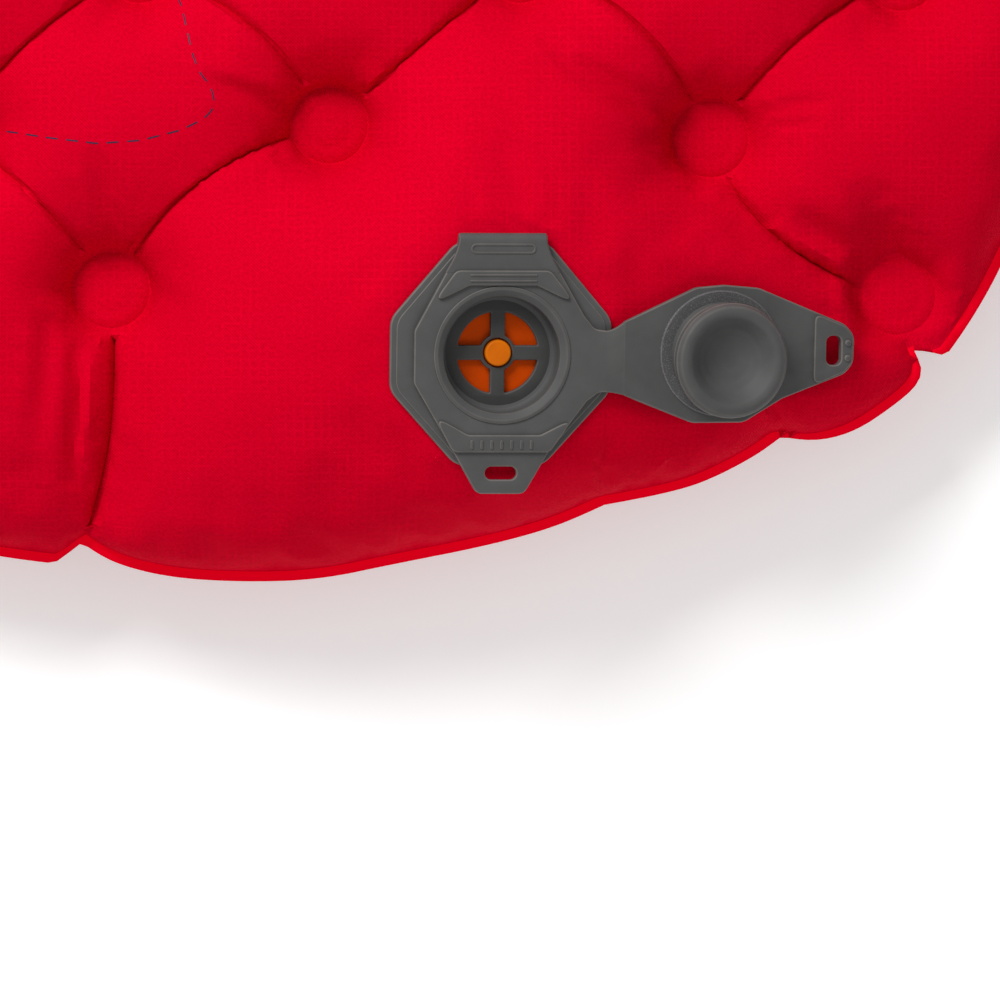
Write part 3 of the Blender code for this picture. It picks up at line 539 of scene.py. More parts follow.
def make_panels(looks):
    """The two fabric panels, welded at the seam and the tufts and blown up between them."""
    centre = np.array(VALVE_AT[:2])
    top = Panel(centre)
    rel = top.plan - centre
    slope = np.array([-VALVE_W.x / VALVE_W.z, -VALVE_W.y / VALVE_W.z])
    base = VALVE_AT.z - SEAM_HEIGHT - SEAM_LIFT
    plane = base + rel @ slope
    height = inflate(top, FULLNESS, plane, centre)
    clear = smooth_step((np.hypot(*rel.T) - VALVE_GRIP - 1) / 6)
    height += (creases(top) + gathers(top) + strokes(top)) * clear
    height = np.maximum(height, 0)
    # The cap's arm lies on the lobe and presses it down.
    beyond = np.maximum(rel[:, 0] - CAP_HINGE_U, 0)
    pressed = plane - math.tan(math.radians(CAP_SLOPE)) * beyond - ARM_CLEARANCE * smooth_step(beyond / 5)
    along = np.clip(rel[:, 0], VALVE_GRIP + 2, ARM_LENGTH)
    away = np.hypot(rel[:, 0] - along, rel[:, 1]) - ARM_HALF
    height += np.minimum(pressed - height, 0) * smooth_step(1 - away / 14)
    height = height + weld_emboss(top)
    points = np.column_stack([top.plan, SEAM_HEIGHT + SEAM_LIFT + height])
    gap = np.hypot(*(top.plan[top.triangles].mean(axis=1) - centre).T)
    faces = top.triangles[gap > VALVE_HOLE - 0.4]
    fabric = mesh_object("pillow_top_fabric", points, faces, [looks["fabric_top"]])
    lay_cloth(fabric, top)
    grip = np.hypot(*rel.T) < VALVE_GRIP + 0.5
    arm = away < 4
    settle_cloth(fabric, (top.edge < SEAM_WIDTH + 0.1) | (top.tuft_gap < WELD_RADIUS + 0.1) | grip | arm)

    under = Panel()
    height = inflate(under, FULLNESS_BELOW) + weld_emboss(under) + 0.5 * creases(under) + gathers(under)
    low = np.maximum(SEAM_HEIGHT - SEAM_LIFT - height, 0)
    points = np.column_stack([under.plan, low])
    lower = mesh_object("pillow_bottom_fabric", points, under.triangles[:, ::-1], [looks["fabric_bottom"]])
    lay_cloth(lower, under)
    for piece, panel, face_list in ((fabric, top, faces), (lower, under, under.triangles)):
        # The band's faces take the lighter, glowing cloth: painted light on the flange.
        piece.data.materials.append(looks["weld_band"])
        on_band = panel.edge[face_list].max(axis=1) < SEAM_WIDTH + 0.1
        piece.data.polygons.foreach_set("material_index", on_band.astype(np.int32))
        piece.data.set_sharp_from_angle(angle=math.radians(38))
        piece.data.materials.append(looks["cut_edge"])
        wall = piece.modifiers.new("wall", "SOLIDIFY")
        wall.thickness = FABRIC * MM
        wall.offset = -1
        wall.use_rim = True
        wall.material_offset_rim = 2
        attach(piece, "pillow")
    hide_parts("top_panel", "perimeter_weld",
        *[n for n in frame["nodes"] if n.startswith("tuft_weld_")])
    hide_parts("bottom_panel")
    return fabric, lower


# ---- The dashed outline printed on the lobe ----
OUTLINE_POINTS = (
    (-96.0, 20.0), (-58.0, 24.0), (-30.0, 18.0), (-20.0, -6.0), (-17.2, -18.0), (-15.4, -22.8),
    (-12.6, -26.0), (-11.4, -31.0), (-14.0, -34.2), (-20.0, -37.2), (-30.0, -39.8), (-41.0, -40.6),
    (-54.0, -39.0), (-84.0, -34.0), (-104.0, -22.0), (-108.0, 2.0),
)
DASH, DASH_GAP, DASH_WIDTH = 3.0, 2.1, 0.38


def make_dashed_outline(fabric, look):
    """A closed dashed line of thin printed strips, laid on the inflated surface."""
    loop = np.array(rounded(OUTLINE_POINTS, 9.0, 10))
    loop = np.concatenate([loop, loop[:1]])
    run = np.concatenate([[0], np.cumsum(np.linalg.norm(np.diff(loop, axis=0), axis=1))])
    tree_of_faces = BVHTree.FromObject(fabric, bpy.context.evaluated_depsgraph_get())
    pitch = run[-1] / round(run[-1] / (DASH + DASH_GAP))
    points, faces = [], []
    for start in np.arange(0, run[-1] - 1, pitch):
        at = np.linspace(start, start + DASH, 7)
        line = np.column_stack([np.interp(at, run, loop[:, 0]), np.interp(at, run, loop[:, 1])])
        along = np.gradient(line, axis=0)
        across = np.column_stack([-along[:, 1], along[:, 0]]) / np.hypot(*along.T)[:, None] * DASH_WIDTH / 2
        first = len(points)
        for spot in np.stack([line + across, line - across], 1).reshape(-1, 2):
            hit = tree_of_faces.ray_cast(Vector((spot[0] * MM, spot[1] * MM, 0.2)), Vector((0, 0, -1)))[0]
            points.append((spot[0], spot[1], hit.z / MM + 0.07))
        faces += [(k + 1, k + 3, k + 2, k) for k in range(first, first + 12, 2)]
    strips = mesh_object("lobe_dashed_outline", points, faces, [look])
    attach(strips, "pillow")


# ---- Materials ----
def tree(name, colour, roughness):
    """A Principled material with its node tree, for the functions below to add to."""
    made = bpy.data.materials.new(name)
    made.use_nodes = True
    shader = made.node_tree.nodes["Principled BSDF"]
    shader.inputs["Base Color"].default_value = (*colour, 1)
    shader.inputs["Roughness"].default_value = roughness
    return made, made.node_tree, shader


def math_node(nodes, operation, first, second=None, third=None, clamp=False):
    """A Math node whose inputs are sockets or numbers."""
    node = nodes.nodes.new("ShaderNodeMath")
    node.operation = operation
    node.use_clamp = clamp
    for slot, value in enumerate((first, second, third)):
        if isinstance(value, (int, float)):
            node.inputs[slot].default_value = value
        elif value is not None:
            nodes.links.new(value, node.inputs[slot])
    return node.outputs[0]


def mix_colour(nodes, share, first, second):
    node = nodes.nodes.new("ShaderNodeMix")
    node.data_type = "RGBA"
    for slot, value in (("Factor", share), ("A", first), ("B", second)):
        socket = node.inputs[slot]
        if isinstance(value, tuple):
            socket.default_value = (*value, 1)
        elif isinstance(value, (int, float)):
            socket.default_value = value
        else:
            nodes.links.new(value, socket)
    return node.outputs["Result"]


def noise(nodes, place, scale, detail=3.0, roughness=0.6):
    node = nodes.nodes.new("ShaderNodeTexNoise")
    node.inputs["Scale"].default_value = scale
    node.inputs["Detail"].default_value = detail
    node.inputs["Roughness"].default_value = roughness
    nodes.links.new(place, node.inputs["Vector"])
    return node.outputs["Fac"]


def bump(nodes, shader, height, distance, strength=1.0):
    node = nodes.nodes.new("ShaderNodeBump")
    node.inputs["Strength"].default_value = strength
    node.inputs["Distance"].default_value = distance
    nodes.links.new(height, node.inputs["Height"])
    nodes.links.new(node.outputs["Normal"], shader.inputs["Normal"])


TWILL_PITCH = 0.55
RIPSTOP_PITCH = 2.2


def fabric_look(name, deep, bright, roughness):
    """Fine diagonal twill with a small embossed ripstop check, lighter where the yarns stand proud as a
    painted highlight on the yarn tops.
    """
    made, nodes, shader = tree(name, bright, roughness)
    cloth = nodes.nodes.new("ShaderNodeAttribute")
    cloth.attribute_name = "cloth"
    split = nodes.nodes.new("ShaderNodeSeparateXYZ")
    nodes.links.new(cloth.outputs["Vector"], split.inputs[0])
    x, y = split.outputs["X"], split.outputs["Y"]
    # twill: diagonal ribs broken by the crossing yarns
    turns = 2 * math.pi / TWILL_PITCH
    diagonal = math_node(nodes, "MULTIPLY", math_node(nodes, "ADD", x, y), turns / 1.414)
    crossing = math_node(nodes, "MULTIPLY", math_node(nodes, "SUBTRACT", x, y), turns / 1.1)
    ribs = math_node(nodes, "MULTIPLY_ADD", math_node(nodes, "SINE", diagonal), 0.5, 0.5)
    knots = math_node(nodes, "MULTIPLY_ADD", math_node(nodes, "SINE", crossing), 0.5, 0.5)
    weave = math_node(nodes, "MULTIPLY_ADD", knots, 0.35, math_node(nodes, "MULTIPLY", ribs, 0.65))
    # ripstop: a rounded square inside each cell of a fine check
    cell = []
    for axis in (x, y):
        share = math_node(nodes, "FRACT", math_node(nodes, "DIVIDE", axis, RIPSTOP_PITCH))
        cell.append(math_node(nodes, "ABSOLUTE", math_node(nodes, "SUBTRACT", share, 0.5)))
    reach = math_node(nodes, "MAXIMUM", cell[0], cell[1])
    check = math_node(nodes, "MULTIPLY", math_node(nodes, "SUBTRACT", reach, 0.30), 8.0, clamp=True)
    patches = noise(nodes, cloth.outputs["Vector"], 0.035, 2.0)
    shown = math_node(nodes, "MULTIPLY", math_node(nodes, "SUBTRACT", patches, 0.42), 5.0, clamp=True)
    fine = noise(nodes, cloth.outputs["Vector"], 1.3, 4.0, 0.7)
    squares = math_node(nodes, "MULTIPLY", check, math_node(nodes, "MULTIPLY_ADD", shown, 0.75, 0.12))
    height = math_node(nodes, "MULTIPLY_ADD", squares, -0.35, math_node(nodes, "MULTIPLY", weave, 0.6))
    height = math_node(nodes, "MULTIPLY_ADD", fine, 0.6, height)
    # The weave's share of the tone is a painted highlight on the proud yarns; the fine noise is random tone.
    tone = math_node(nodes, "MULTIPLY_ADD", weave, 0.35, math_node(nodes, "MULTIPLY_ADD", fine, 1.1, -0.25))
    tone = math_node(nodes, "ADD", tone, math_node(nodes, "MULTIPLY", squares, 0.12))
    colour = mix_colour(nodes, math_node(nodes, "MULTIPLY", tone, 1.0, clamp=True), deep, bright)
    nodes.links.new(colour, shader.inputs["Base Color"])
    bump(nodes, shader, height, 0.00009, 0.8)
    shader.inputs["Specular IOR Level"].default_value = 0.06
    shader.inputs["IOR"].default_value = 1.2
    shader.inputs["Specular Tint"].default_value = (1.0, 0.10, 0.16, 1)
    return made


def band_look():
    """The welded band: the same cloth in lighter reds with a faint glow, painted light on a band that lies
    in the lobe's shadow.
    """
    made = fabric_look("red_weld_band_painted_light", (0.72, 0.0, 0.012), (0.95, 0.0, 0.02), 0.45)
    shader = made.node_tree.nodes["Principled BSDF"]
    # Painted light: the band glows though it is no lamp.
    shader.inputs["Emission Color"].default_value = (1.0, 0.0, 0.012, 1)
    shader.inputs["Emission Strength"].default_value = 0.22
    return made


def silicone_look(name, body, pale_rim, roughness=0.62, speckle=0.0, gloss=0.3):
    """Matte moulded silicone: faint mottling, fine grain, and paler edges that stand for rubbed wear and a
    painted highlight on the rims.
    """
    made, nodes, shader = tree(name, body, roughness)
    place = nodes.nodes.new("ShaderNodeTexCoord").outputs["Object"]
    edge = nodes.nodes.new("ShaderNodeAttribute")
    edge.attribute_name = "wear_and_highlight"
    mottle = noise(nodes, place, 160.0, 4.0)
    grain = noise(nodes, place, 2600.0, 2.0, 0.5)
    darker = tuple(c * 0.78 for c in body)
    clouded = math_node(nodes, "MULTIPLY_ADD", mottle, 1.6, -0.3, clamp=True)
    colour = mix_colour(nodes, clouded, darker, body)
    uneven = math_node(nodes, "MULTIPLY_ADD", mottle, 1.1, 0.05)
    # Paler rims: rubbed wear, and a painted highlight where the rims would catch the light.
    rim_paleness = math_node(nodes, "MULTIPLY", edge.outputs["Fac"], uneven)
    colour = mix_colour(nodes, math_node(nodes, "MULTIPLY", rim_paleness, 1.0, clamp=True), colour, pale_rim)
    if speckle:
        dots = math_node(nodes, "GREATER_THAN", noise(nodes, place, 3600.0, 1.0), 0.60)
        colour = mix_colour(nodes, math_node(nodes, "MULTIPLY", dots, speckle), colour, pale_rim)
    nodes.links.new(colour, shader.inputs["Base Color"])
    rough = math_node(nodes, "MULTIPLY_ADD", mottle, 0.16, roughness - 0.08)
    nodes.links.new(rough, shader.inputs["Roughness"])
    height = math_node(nodes, "MULTIPLY_ADD", mottle, 0.6, math_node(nodes, "MULTIPLY", grain, 0.4))
    bump(nodes, shader, height, 0.00005, 0.5)
    shader.inputs["Specular IOR Level"].default_value = gloss
    return made


def plain(name, colour, roughness=0.5):
    made = bpy.data.materials.new(name)
    made.use_nodes = True
    shader = made.node_tree.nodes["Principled BSDF"]
    shader.inputs["Base Color"].default_value = (*colour, 1)
    shader.inputs["Roughness"].default_value = roughness
    return made


# ---- Outlines of the valve's plates ----
def arc(centre, radius, start, end, steps):
    turn = (end - start) / steps
    return [
        (centre[0] + radius * math.cos(start + turn * i), centre[1] + radius * math.sin(start + turn * i))
        for i in range(steps + 1)
    ]


def circle(centre, radius, steps=96):
    return arc(centre, radius, 0, 2 * math.pi, steps)[:-1]


def without_repeats(points):
    return [p for i, p in enumerate(points) if math.dist(p, points[i - 1]) > 1e-3]


def stadium(centre, along_u, along_v, steps=16, radius=None):
    """A slot with rounded ends."""
    radius = radius or min(along_u, along_v) / 2
    reach_u, reach_v = along_u / 2 - radius, along_v / 2 - radius
    points = []
    for quarter, (side_u, side_v) in enumerate(((1, 1), (-1, 1), (-1, -1), (1, -1))):
        corner = (centre[0] + side_u * reach_u, centre[1] + side_v * reach_v)
        points += arc(corner, radius, quarter * math.pi / 2, (quarter + 1) * math.pi / 2, steps // 2)
    return without_repeats(points)


def rounded(corners, radius, steps=8):
    """The polygon with a bend, as wide as its sides allow, at each corner but the marked ones."""
    points = []
    for i, corner in enumerate(corners):
        here = Vector(corner[:2])
        back = Vector(corners[i - 1][:2]) - here
        ahead = Vector(corners[(i + 1) % len(corners)][:2]) - here
        if len(corner) > 2:
            points.append(corner[:2])
            continue
        angle = back.angle(ahead)
        cut = min(radius / math.tan(angle / 2), 0.48 * back.length, 0.48 * ahead.length)
        start, end = here + back.normalized() * cut, here + ahead.normalized() * cut
        for k in range(steps + 1):
            t = k / steps
            bend = start * (1 - t) ** 2 + here * 2 * t * (1 - t) + end * t**2
            points.append((bend.x, bend.y))
    return without_repeats(points)


def anticlockwise(loop):
    area = sum(a[0] * b[1] - b[0] * a[1] for a, b in zip(loop, loop[1:] + loop[:1]))
    return loop if area > 0 else loop[::-1]


def pulled_in(loop, distance):
    """The anticlockwise loop moved inwards by a small distance."""
    moved = []
    for i, point in enumerate(loop):
        here = Vector(point)
        before = (here - Vector(loop[i - 1])).normalized()
        after = (Vector(loop[(i + 1) % len(loop)]) - here).normalized()
        normal = Vector((-before.y - after.y, before.x + after.x))
        moved.append(tuple(here + normal * (distance / max(normal.length_squared / 2, 0.5))))
    return moved


def mark_wear_and_highlight(piece, values):
    layer = piece.data.attributes.new("wear_and_highlight", "FLOAT", "POINT")
    layer.data.foreach_set("value", np.array(values, np.float32))


def finish_piece(piece, place, body, replaces=()):
    """Puts a piece drawn in the valve's directions where the valve is, and hands it to its body."""
    matrix = place.copy()
    matrix.translation = place.translation * MM
    piece.data.transform(matrix)
    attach(piece, body)
    if replaces:
        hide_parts(*replaces)
    return piece


def plate(name, outline, bottom, top, look, holes=(), round_top=0.35, round_bottom=0.25, steps=4,
          wear_and_highlight=1.0, cut_u=None):
    """A moulded plate with rounded rims and holes, left square at cut_u, where another piece joins it."""
    layers = []
    for k in range(steps + 1):
        turn = k / steps * math.pi / 2
        rise, pull = round_bottom * (1 - math.sin(turn)), round_bottom * (1 - math.cos(turn))
        layers.append((bottom + rise, pull, 0.3))
    layers = layers[::-1]
    for k in range(steps + 1):
        turn = k / steps * math.pi / 2
        # The rounded top rim is marked paler: rubbed wear, and a painted highlight along its crest.
        rim_paleness = wear_and_highlight * math.sin(2 * turn) if 0 < k < steps else 0.0
        layers.append((top - round_top * (1 - math.sin(turn)), round_top * (1 - math.cos(turn)), rim_paleness))
    loops = [anticlockwise(list(outline))] + [anticlockwise(list(hole)) for hole in holes]
    points, faces, starts, pale_rim = [], [], [], []
    for height, pulled, rim_paleness in layers:
        starts.append(len(points))
        for n, loop in enumerate(loops):
            moved = pulled_in(loop, pulled if n == 0 else -pulled)
            if cut_u is not None and n == 0:
                for i, (u, _) in enumerate(loop):
                    if abs(u - cut_u) < 0.01:
                        moved[i] = (u, moved[i][1])
            points += [(u, v, height) for u, v in moved]
            pale_rim += [rim_paleness] * len(loop)
    for low, high in zip(starts, starts[1:]):
        first = 0
        for n, loop in enumerate(loops):
            for i in range(len(loop)):
                a, b = first + i, first + (i + 1) % len(loop)
                side = (low + a, low + b, high + b, high + a)
                faces.append(side if n == 0 else side[::-1])
            first += len(loop)
    for start, up in ((starts[0], False), (starts[-1], True)):
        flat, first = [], start
        for loop in loops:
            flat.append([Vector((*points[first + i][:2], 0)) for i in range(len(loop))])
            first += len(loop)
        for triangle in tessellate_polygon(flat):
            a, b, c = (start + i for i in triangle)
            turn = (Vector(points[b]) - Vector(points[a])).cross(Vector(points[c]) - Vector(points[a])).z
            faces.append((a, b, c) if (turn > 0) == up else (a, c, b))
    made = mesh_object(name, points, faces, [look])
    made.data.set_sharp_from_angle(angle=math.radians(30))
    mark_wear_and_highlight(made, pale_rim)
    return made


def turned(name, profile, look, centre=(0, 0), steps=96, sharp=38):
    """A turned piece, whose profile is (radius, w) or (radius, w, paleness), anticlockwise with w up;
    paleness marks a rim as worn and painted with a highlight.
    """
    points, faces, rings, pale_rim = [], [], [], []
    for radius, height, *rim_paleness in profile:
        pale_rim_here = rim_paleness[0] if rim_paleness else 0.0
        if radius == 0:
            rings.append([len(points)] * steps)
            points.append((centre[0], centre[1], height))
            pale_rim.append(pale_rim_here)
            continue
        rings.append(list(range(len(points), len(points) + steps)))
        points += [(u, v, height) for u, v in circle(centre, radius, steps)]
        pale_rim += [pale_rim_here] * steps
    for ring_low, ring_high in zip(rings, rings[1:] + rings[:1]):
        for i in range(steps):
            j = (i + 1) % steps
            corners = tuple(dict.fromkeys((ring_low[i], ring_low[j], ring_high[j], ring_high[i])))
            if len(corners) > 2:
                faces.append(corners)
    made = mesh_object(name, points, faces, [look])
    made.data.set_sharp_from_angle(angle=math.radians(sharp))
    mark_wear_and_highlight(made, pale_rim)
    return made


def bend_profile(points, radius=0.4, steps=5):
    """A turned profile with its inner corners rounded."""
    result = [points[0]]
    for before, here, after in zip(points, points[1:], points[2:]):
        a, b, c = (Vector(p[:2]) for p in (before, here, after))
        if (a - b).length < 1e-6 or (c - b).length < 1e-6:
            continue
        cut = min(radius, 0.45 * (a - b).length, 0.45 * (c - b).length)
        start, end = b + (a - b).normalized() * cut, b + (c - b).normalized() * cut
        rim_paleness = here[2] if len(here) > 2 else 0.0
        for k in range(steps + 1):
            t = k / steps
            spot = start * (1 - t) ** 2 + b * 2 * t * (1 - t) + end * t**2
            result.append((spot.x, spot.y, rim_paleness * (1 - abs(2 * t - 1))))
    result.append(points[-1])
    return result


# ---- The valve ----
PLATE_BOTTOM, PLATE_TOP = 2.1, 3.7  # of the deflate flap and the cap's arm
BASE_BOTTOM, BASE_TOP = 0.15, 1.8
PAD_TOP = 4.55
BORE = 14.7
SEAT_TOP, SEAT_BOTTOM = -3.8, -5.3
SPOKE_WIDTH, HUB_RADIUS, WINDOW_RADIUS = 3.7, 4.6, 10.3
STEM_RADIUS = 3.3
PORT_BORE, PORT_RADIUS, PORT_BOTTOM = 18.4, 20.0, -7.4
FLANGE_RADIUS, FLANGE_TOP, FLANGE_BOTTOM = 26.9, -1.3, -2.2
FLAP_HOLE, SEAT_RADIUS = 16.6, 13.6
DISC_TOP, DISC_BOTTOM = -5.62, -6.5  # of the check valve's membrane
FOOT_RADIUS = 15.9  # of the plug
PLUG_U, PLUG_V = 2 * CAP_HINGE_U, -1.1
PLUG_RADIUS, PLUG_HEIGHT = 14.4, 8.0
NECK_START, NECK_END = 26.4, 31.2  # the living hinge between flap and cap, along u

BASE_OUTLINE = (
    (28.0, 8.8), (11.4, 28.3), (-11.4, 28.3), (-28.0, 8.8), (-28.0, -9.2), (-11.0, -28.0), (11.0, -28.0),
    (28.0, -9.2),
)
FLAP_OUTLINE = (
    (NECK_START, 6.1, 0), (23.4, 6.5), (20.6, 10.0), (13.0, 23.2), (11.9, 25.4), (-11.9, 25.4),
    (-13.0, 23.2), (-22.2, 6.0), (-22.2, -7.2), (-12.2, -24.1), (-6.0, -34.8), (6.0, -34.8),
    (12.2, -24.1), (21.6, -11.6), (24.6, -9.3), (NECK_START, -9.3, 0),
)
UPPER_PAD = ((11.9, 21.2), (18.6, 12.6), (8.5, 17.4), (-8.5, 17.4), (-18.2, 12.6), (-11.9, 21.2))
LOWER_PAD = ((-17.4, -15.0), (-12.2, -24.4), (12.2, -24.4), (18.4, -15.6), (9.8, -20.0), (-8.4, -20.0))
ARM_OUTLINE = (
    (NECK_END, 8.4, 0), (33.5, 9.5), (49.6, 16.8), (57.0, 17.4), (66.0, 16.6), (88.8, 7.3), (91.3, 4.6),
    (91.1, -2.6), (88.8, -5.2), (72.5, -11.3), (62.5, -17.2), (49.0, -17.2), (33.7, -11.2),
    (NECK_END, -10.1, 0),
)
TAB_PAD = ((80.6, 10.2), (80.4, -7.9), (88.4, -4.7), (90.5, -2.3), (90.8, 4.3), (88.6, 6.9))
FLAP_SLOT = ((0.0, -29.6), 8.0, 3.3)
ARM_SLOT = ((85.6, 0.8), 3.9, 7.4)
STRAP_GROOVE = ((0.0, 26.6), 16.5, 2.6)
PLUG_LEAN = (-1.1, 1.4)  # how far the soft plug's foot lies off its axis as it leans
LEAN_HEIGHT = 4.5  # above which the plug is true again
TAB_DOTS = ((89.2, 2.7), (89.1, -1.1))


def window(quarter):
    """One opening of the seat: a quarter of a ring between two spokes, with rounded corners."""
    half = SPOKE_WIDTH / 2
    gap_in, gap_out = math.asin(half / HUB_RADIUS), math.asin(half / WINDOW_RADIUS)
    loop = arc((0, 0), WINDOW_RADIUS, gap_out, math.pi / 2 - gap_out, 14)
    loop += arc((0, 0), HUB_RADIUS, math.pi / 2 - gap_in, gap_in, 7)
    turn = Matrix.Rotation(quarter * math.pi / 2, 2)
    return rounded([tuple(turn @ Vector(p)) for p in loop], 1.4, 4)


def make_base(looks):
    grey = looks["grey"]
    base = plate("valve_base", rounded(BASE_OUTLINE, 6.5, 12), BASE_BOTTOM, BASE_TOP - 0.35, grey,
                 holes=[circle((0, 0), PORT_RADIUS + 0.2)], round_top=0.5)
    finish_piece(base, VALVE, "pillow", ["valve_base_plate"])
    lip = [(u * 0.945, v * 0.945) for u, v in BASE_OUTLINE]
    step = plate("valve_base_step", rounded(lip, 6.0, 12), BASE_TOP - 0.6, BASE_TOP, grey,
                 holes=[circle((0, 0), PORT_RADIUS + 0.2)], round_top=0.3)
    finish_piece(step, VALVE, "pillow")
    # The port takes the darker copy of the grey silicone: painted shade.
    port = turned("valve_port", [
        (PORT_BORE, BASE_TOP - 0.4, 1), (PORT_BORE, PORT_BOTTOM), (PORT_RADIUS, PORT_BOTTOM),
        (PORT_RADIUS, FLANGE_BOTTOM), (FLANGE_RADIUS, FLANGE_BOTTOM), (FLANGE_RADIUS, FLANGE_TOP),
        (PORT_RADIUS + 0.3, FLANGE_TOP), (PORT_RADIUS + 0.3, BASE_TOP - 0.1),
        (PORT_BORE + 0.5, BASE_TOP, 1),
    ], looks["shaded_grey"])
    finish_piece(port, VALVE, "pillow", ["port_flange"])


def make_flap(looks):
    grey = looks["grey"]
    flap = plate("deflate_flap_plate", rounded(FLAP_OUTLINE, 2.6), PLATE_BOTTOM, PLATE_TOP, grey,
                 holes=[circle((0, 0), FLAP_HOLE), stadium(*FLAP_SLOT)], round_top=0.4, cut_u=NECK_START)
    finish_piece(flap, VALVE, "flap", ["deflate_flap"])
    for name, corners in (("flap_upper_pad", UPPER_PAD), ("flap_lower_pad", LOWER_PAD)):
        pad = plate(name, rounded(corners, 2.6), PLATE_TOP - 0.3, PAD_TOP, grey, round_top=0.4)
        finish_piece(pad, VALVE, "flap")
    for number in range(7):
        shape = stadium(((number - 3) * 2.5, -22.4), 0.8, 2.3)
        rib = plate(f"flap_grip_rib_{number + 1}", shape, PAD_TOP - 0.2, PAD_TOP + 0.3, grey,
                    round_top=0.22, round_bottom=0.05, steps=3)
        finish_piece(rib, VALVE, "flap")
    for number, v in enumerate((20.0, 18.6), 1):
        shape = stadium((0, v), 17.0, 0.55)
        rib = plate(f"flap_upper_rib_{number}", shape, PAD_TOP - 0.2, PAD_TOP + 0.25, grey,
                    round_top=0.2, round_bottom=0.05, steps=3)
        finish_piece(rib, VALVE, "flap")
    middle, along_u, along_v = STRAP_GROOVE
    rim = plate("strap_stadium_rim", stadium(*STRAP_GROOVE), PLATE_TOP - 0.1, PLATE_TOP + 0.28, grey,
                holes=[stadium(middle, along_u - 1.1, along_v - 1.1)], round_top=0.2, round_bottom=0.05,
                steps=3)
    finish_piece(rim, VALVE, "flap")
    # The third values mark paler rims, such as the collar's ring: wear and a painted highlight.
    cup = turned("inflate_cup", bend_profile([
        (12.6, -6.5), (16.5, -6.5), (17.1, -5.9), (17.1, 3.4), (17.35, PLATE_TOP - 0.05), (17.2, 4.05, 1),
        (16.4, 4.15, 0.3), (BORE, 3.1, 0.5), (BORE, -2.4), (14.2, -3.5), (13.3, SEAT_TOP + 0.02),
        (12.9, SEAT_TOP - 0.2), (12.9, SEAT_BOTTOM - 0.3), (12.6, SEAT_BOTTOM - 0.3),
    ], 0.35), grey)
    finish_piece(cup, VALVE, "flap", ["valve_cup"])
    holes = [circle((0, 0), STEM_RADIUS + 0.35, 48)] + [window(quarter) for quarter in range(4)]
    # The spider takes the darker copy of the grey silicone: painted shade deep in the bore.
    seat = plate("check_valve_spider", circle((0, 0), SEAT_RADIUS), SEAT_BOTTOM, SEAT_TOP, looks["shaded_grey"],
                 holes=holes, round_top=0.45, round_bottom=0.1, wear_and_highlight=0.7)
    finish_piece(seat, VALVE, "flap", ["check_valve_seat"])


def make_check_valve(looks):
    disc = turned("check_membrane", bend_profile([
        (1.3, DISC_BOTTOM), (11.6, DISC_BOTTOM), (11.9, -6.2), (11.9, DISC_TOP), (1.3, DISC_TOP),
    ], 0.2), looks["amber"])
    finish_piece(disc, VALVE, "check_valve", ["check_diaphragm"])
    stem = turned("check_release_button", [
        (0, -8.0), (1.6, -8.0), (2.2, -6.8), (1.0, -6.8), (1.0, -5.4), (STEM_RADIUS, -5.4),
        (STEM_RADIUS, -3.35), (3.2, -3.1, 0.6), (2.95, -2.93, 1), (2.6, -2.88), (1.2, -2.84), (0, -2.82),
    ], looks["orange"], steps=64, sharp=50)
    finish_piece(stem, VALVE, "check_valve", ["check_stem"])


DROOP = math.radians(CAP_SLOPE)
HINGE_LINE = Matrix.Translation((CAP_HINGE_U, CAP_HINGE_V, CAP_HINGE_W)) @ Matrix.Rotation(
    -math.radians(CAP_SKEW), 4, "Z")


def drooped(share):
    """The turn from flat to the open cap's droop. A share of 1 is the cap, and 0 is the flap."""
    return HINGE_LINE @ Matrix.Rotation(DROOP * share, 4, "Y") @ HINGE_LINE.inverted()


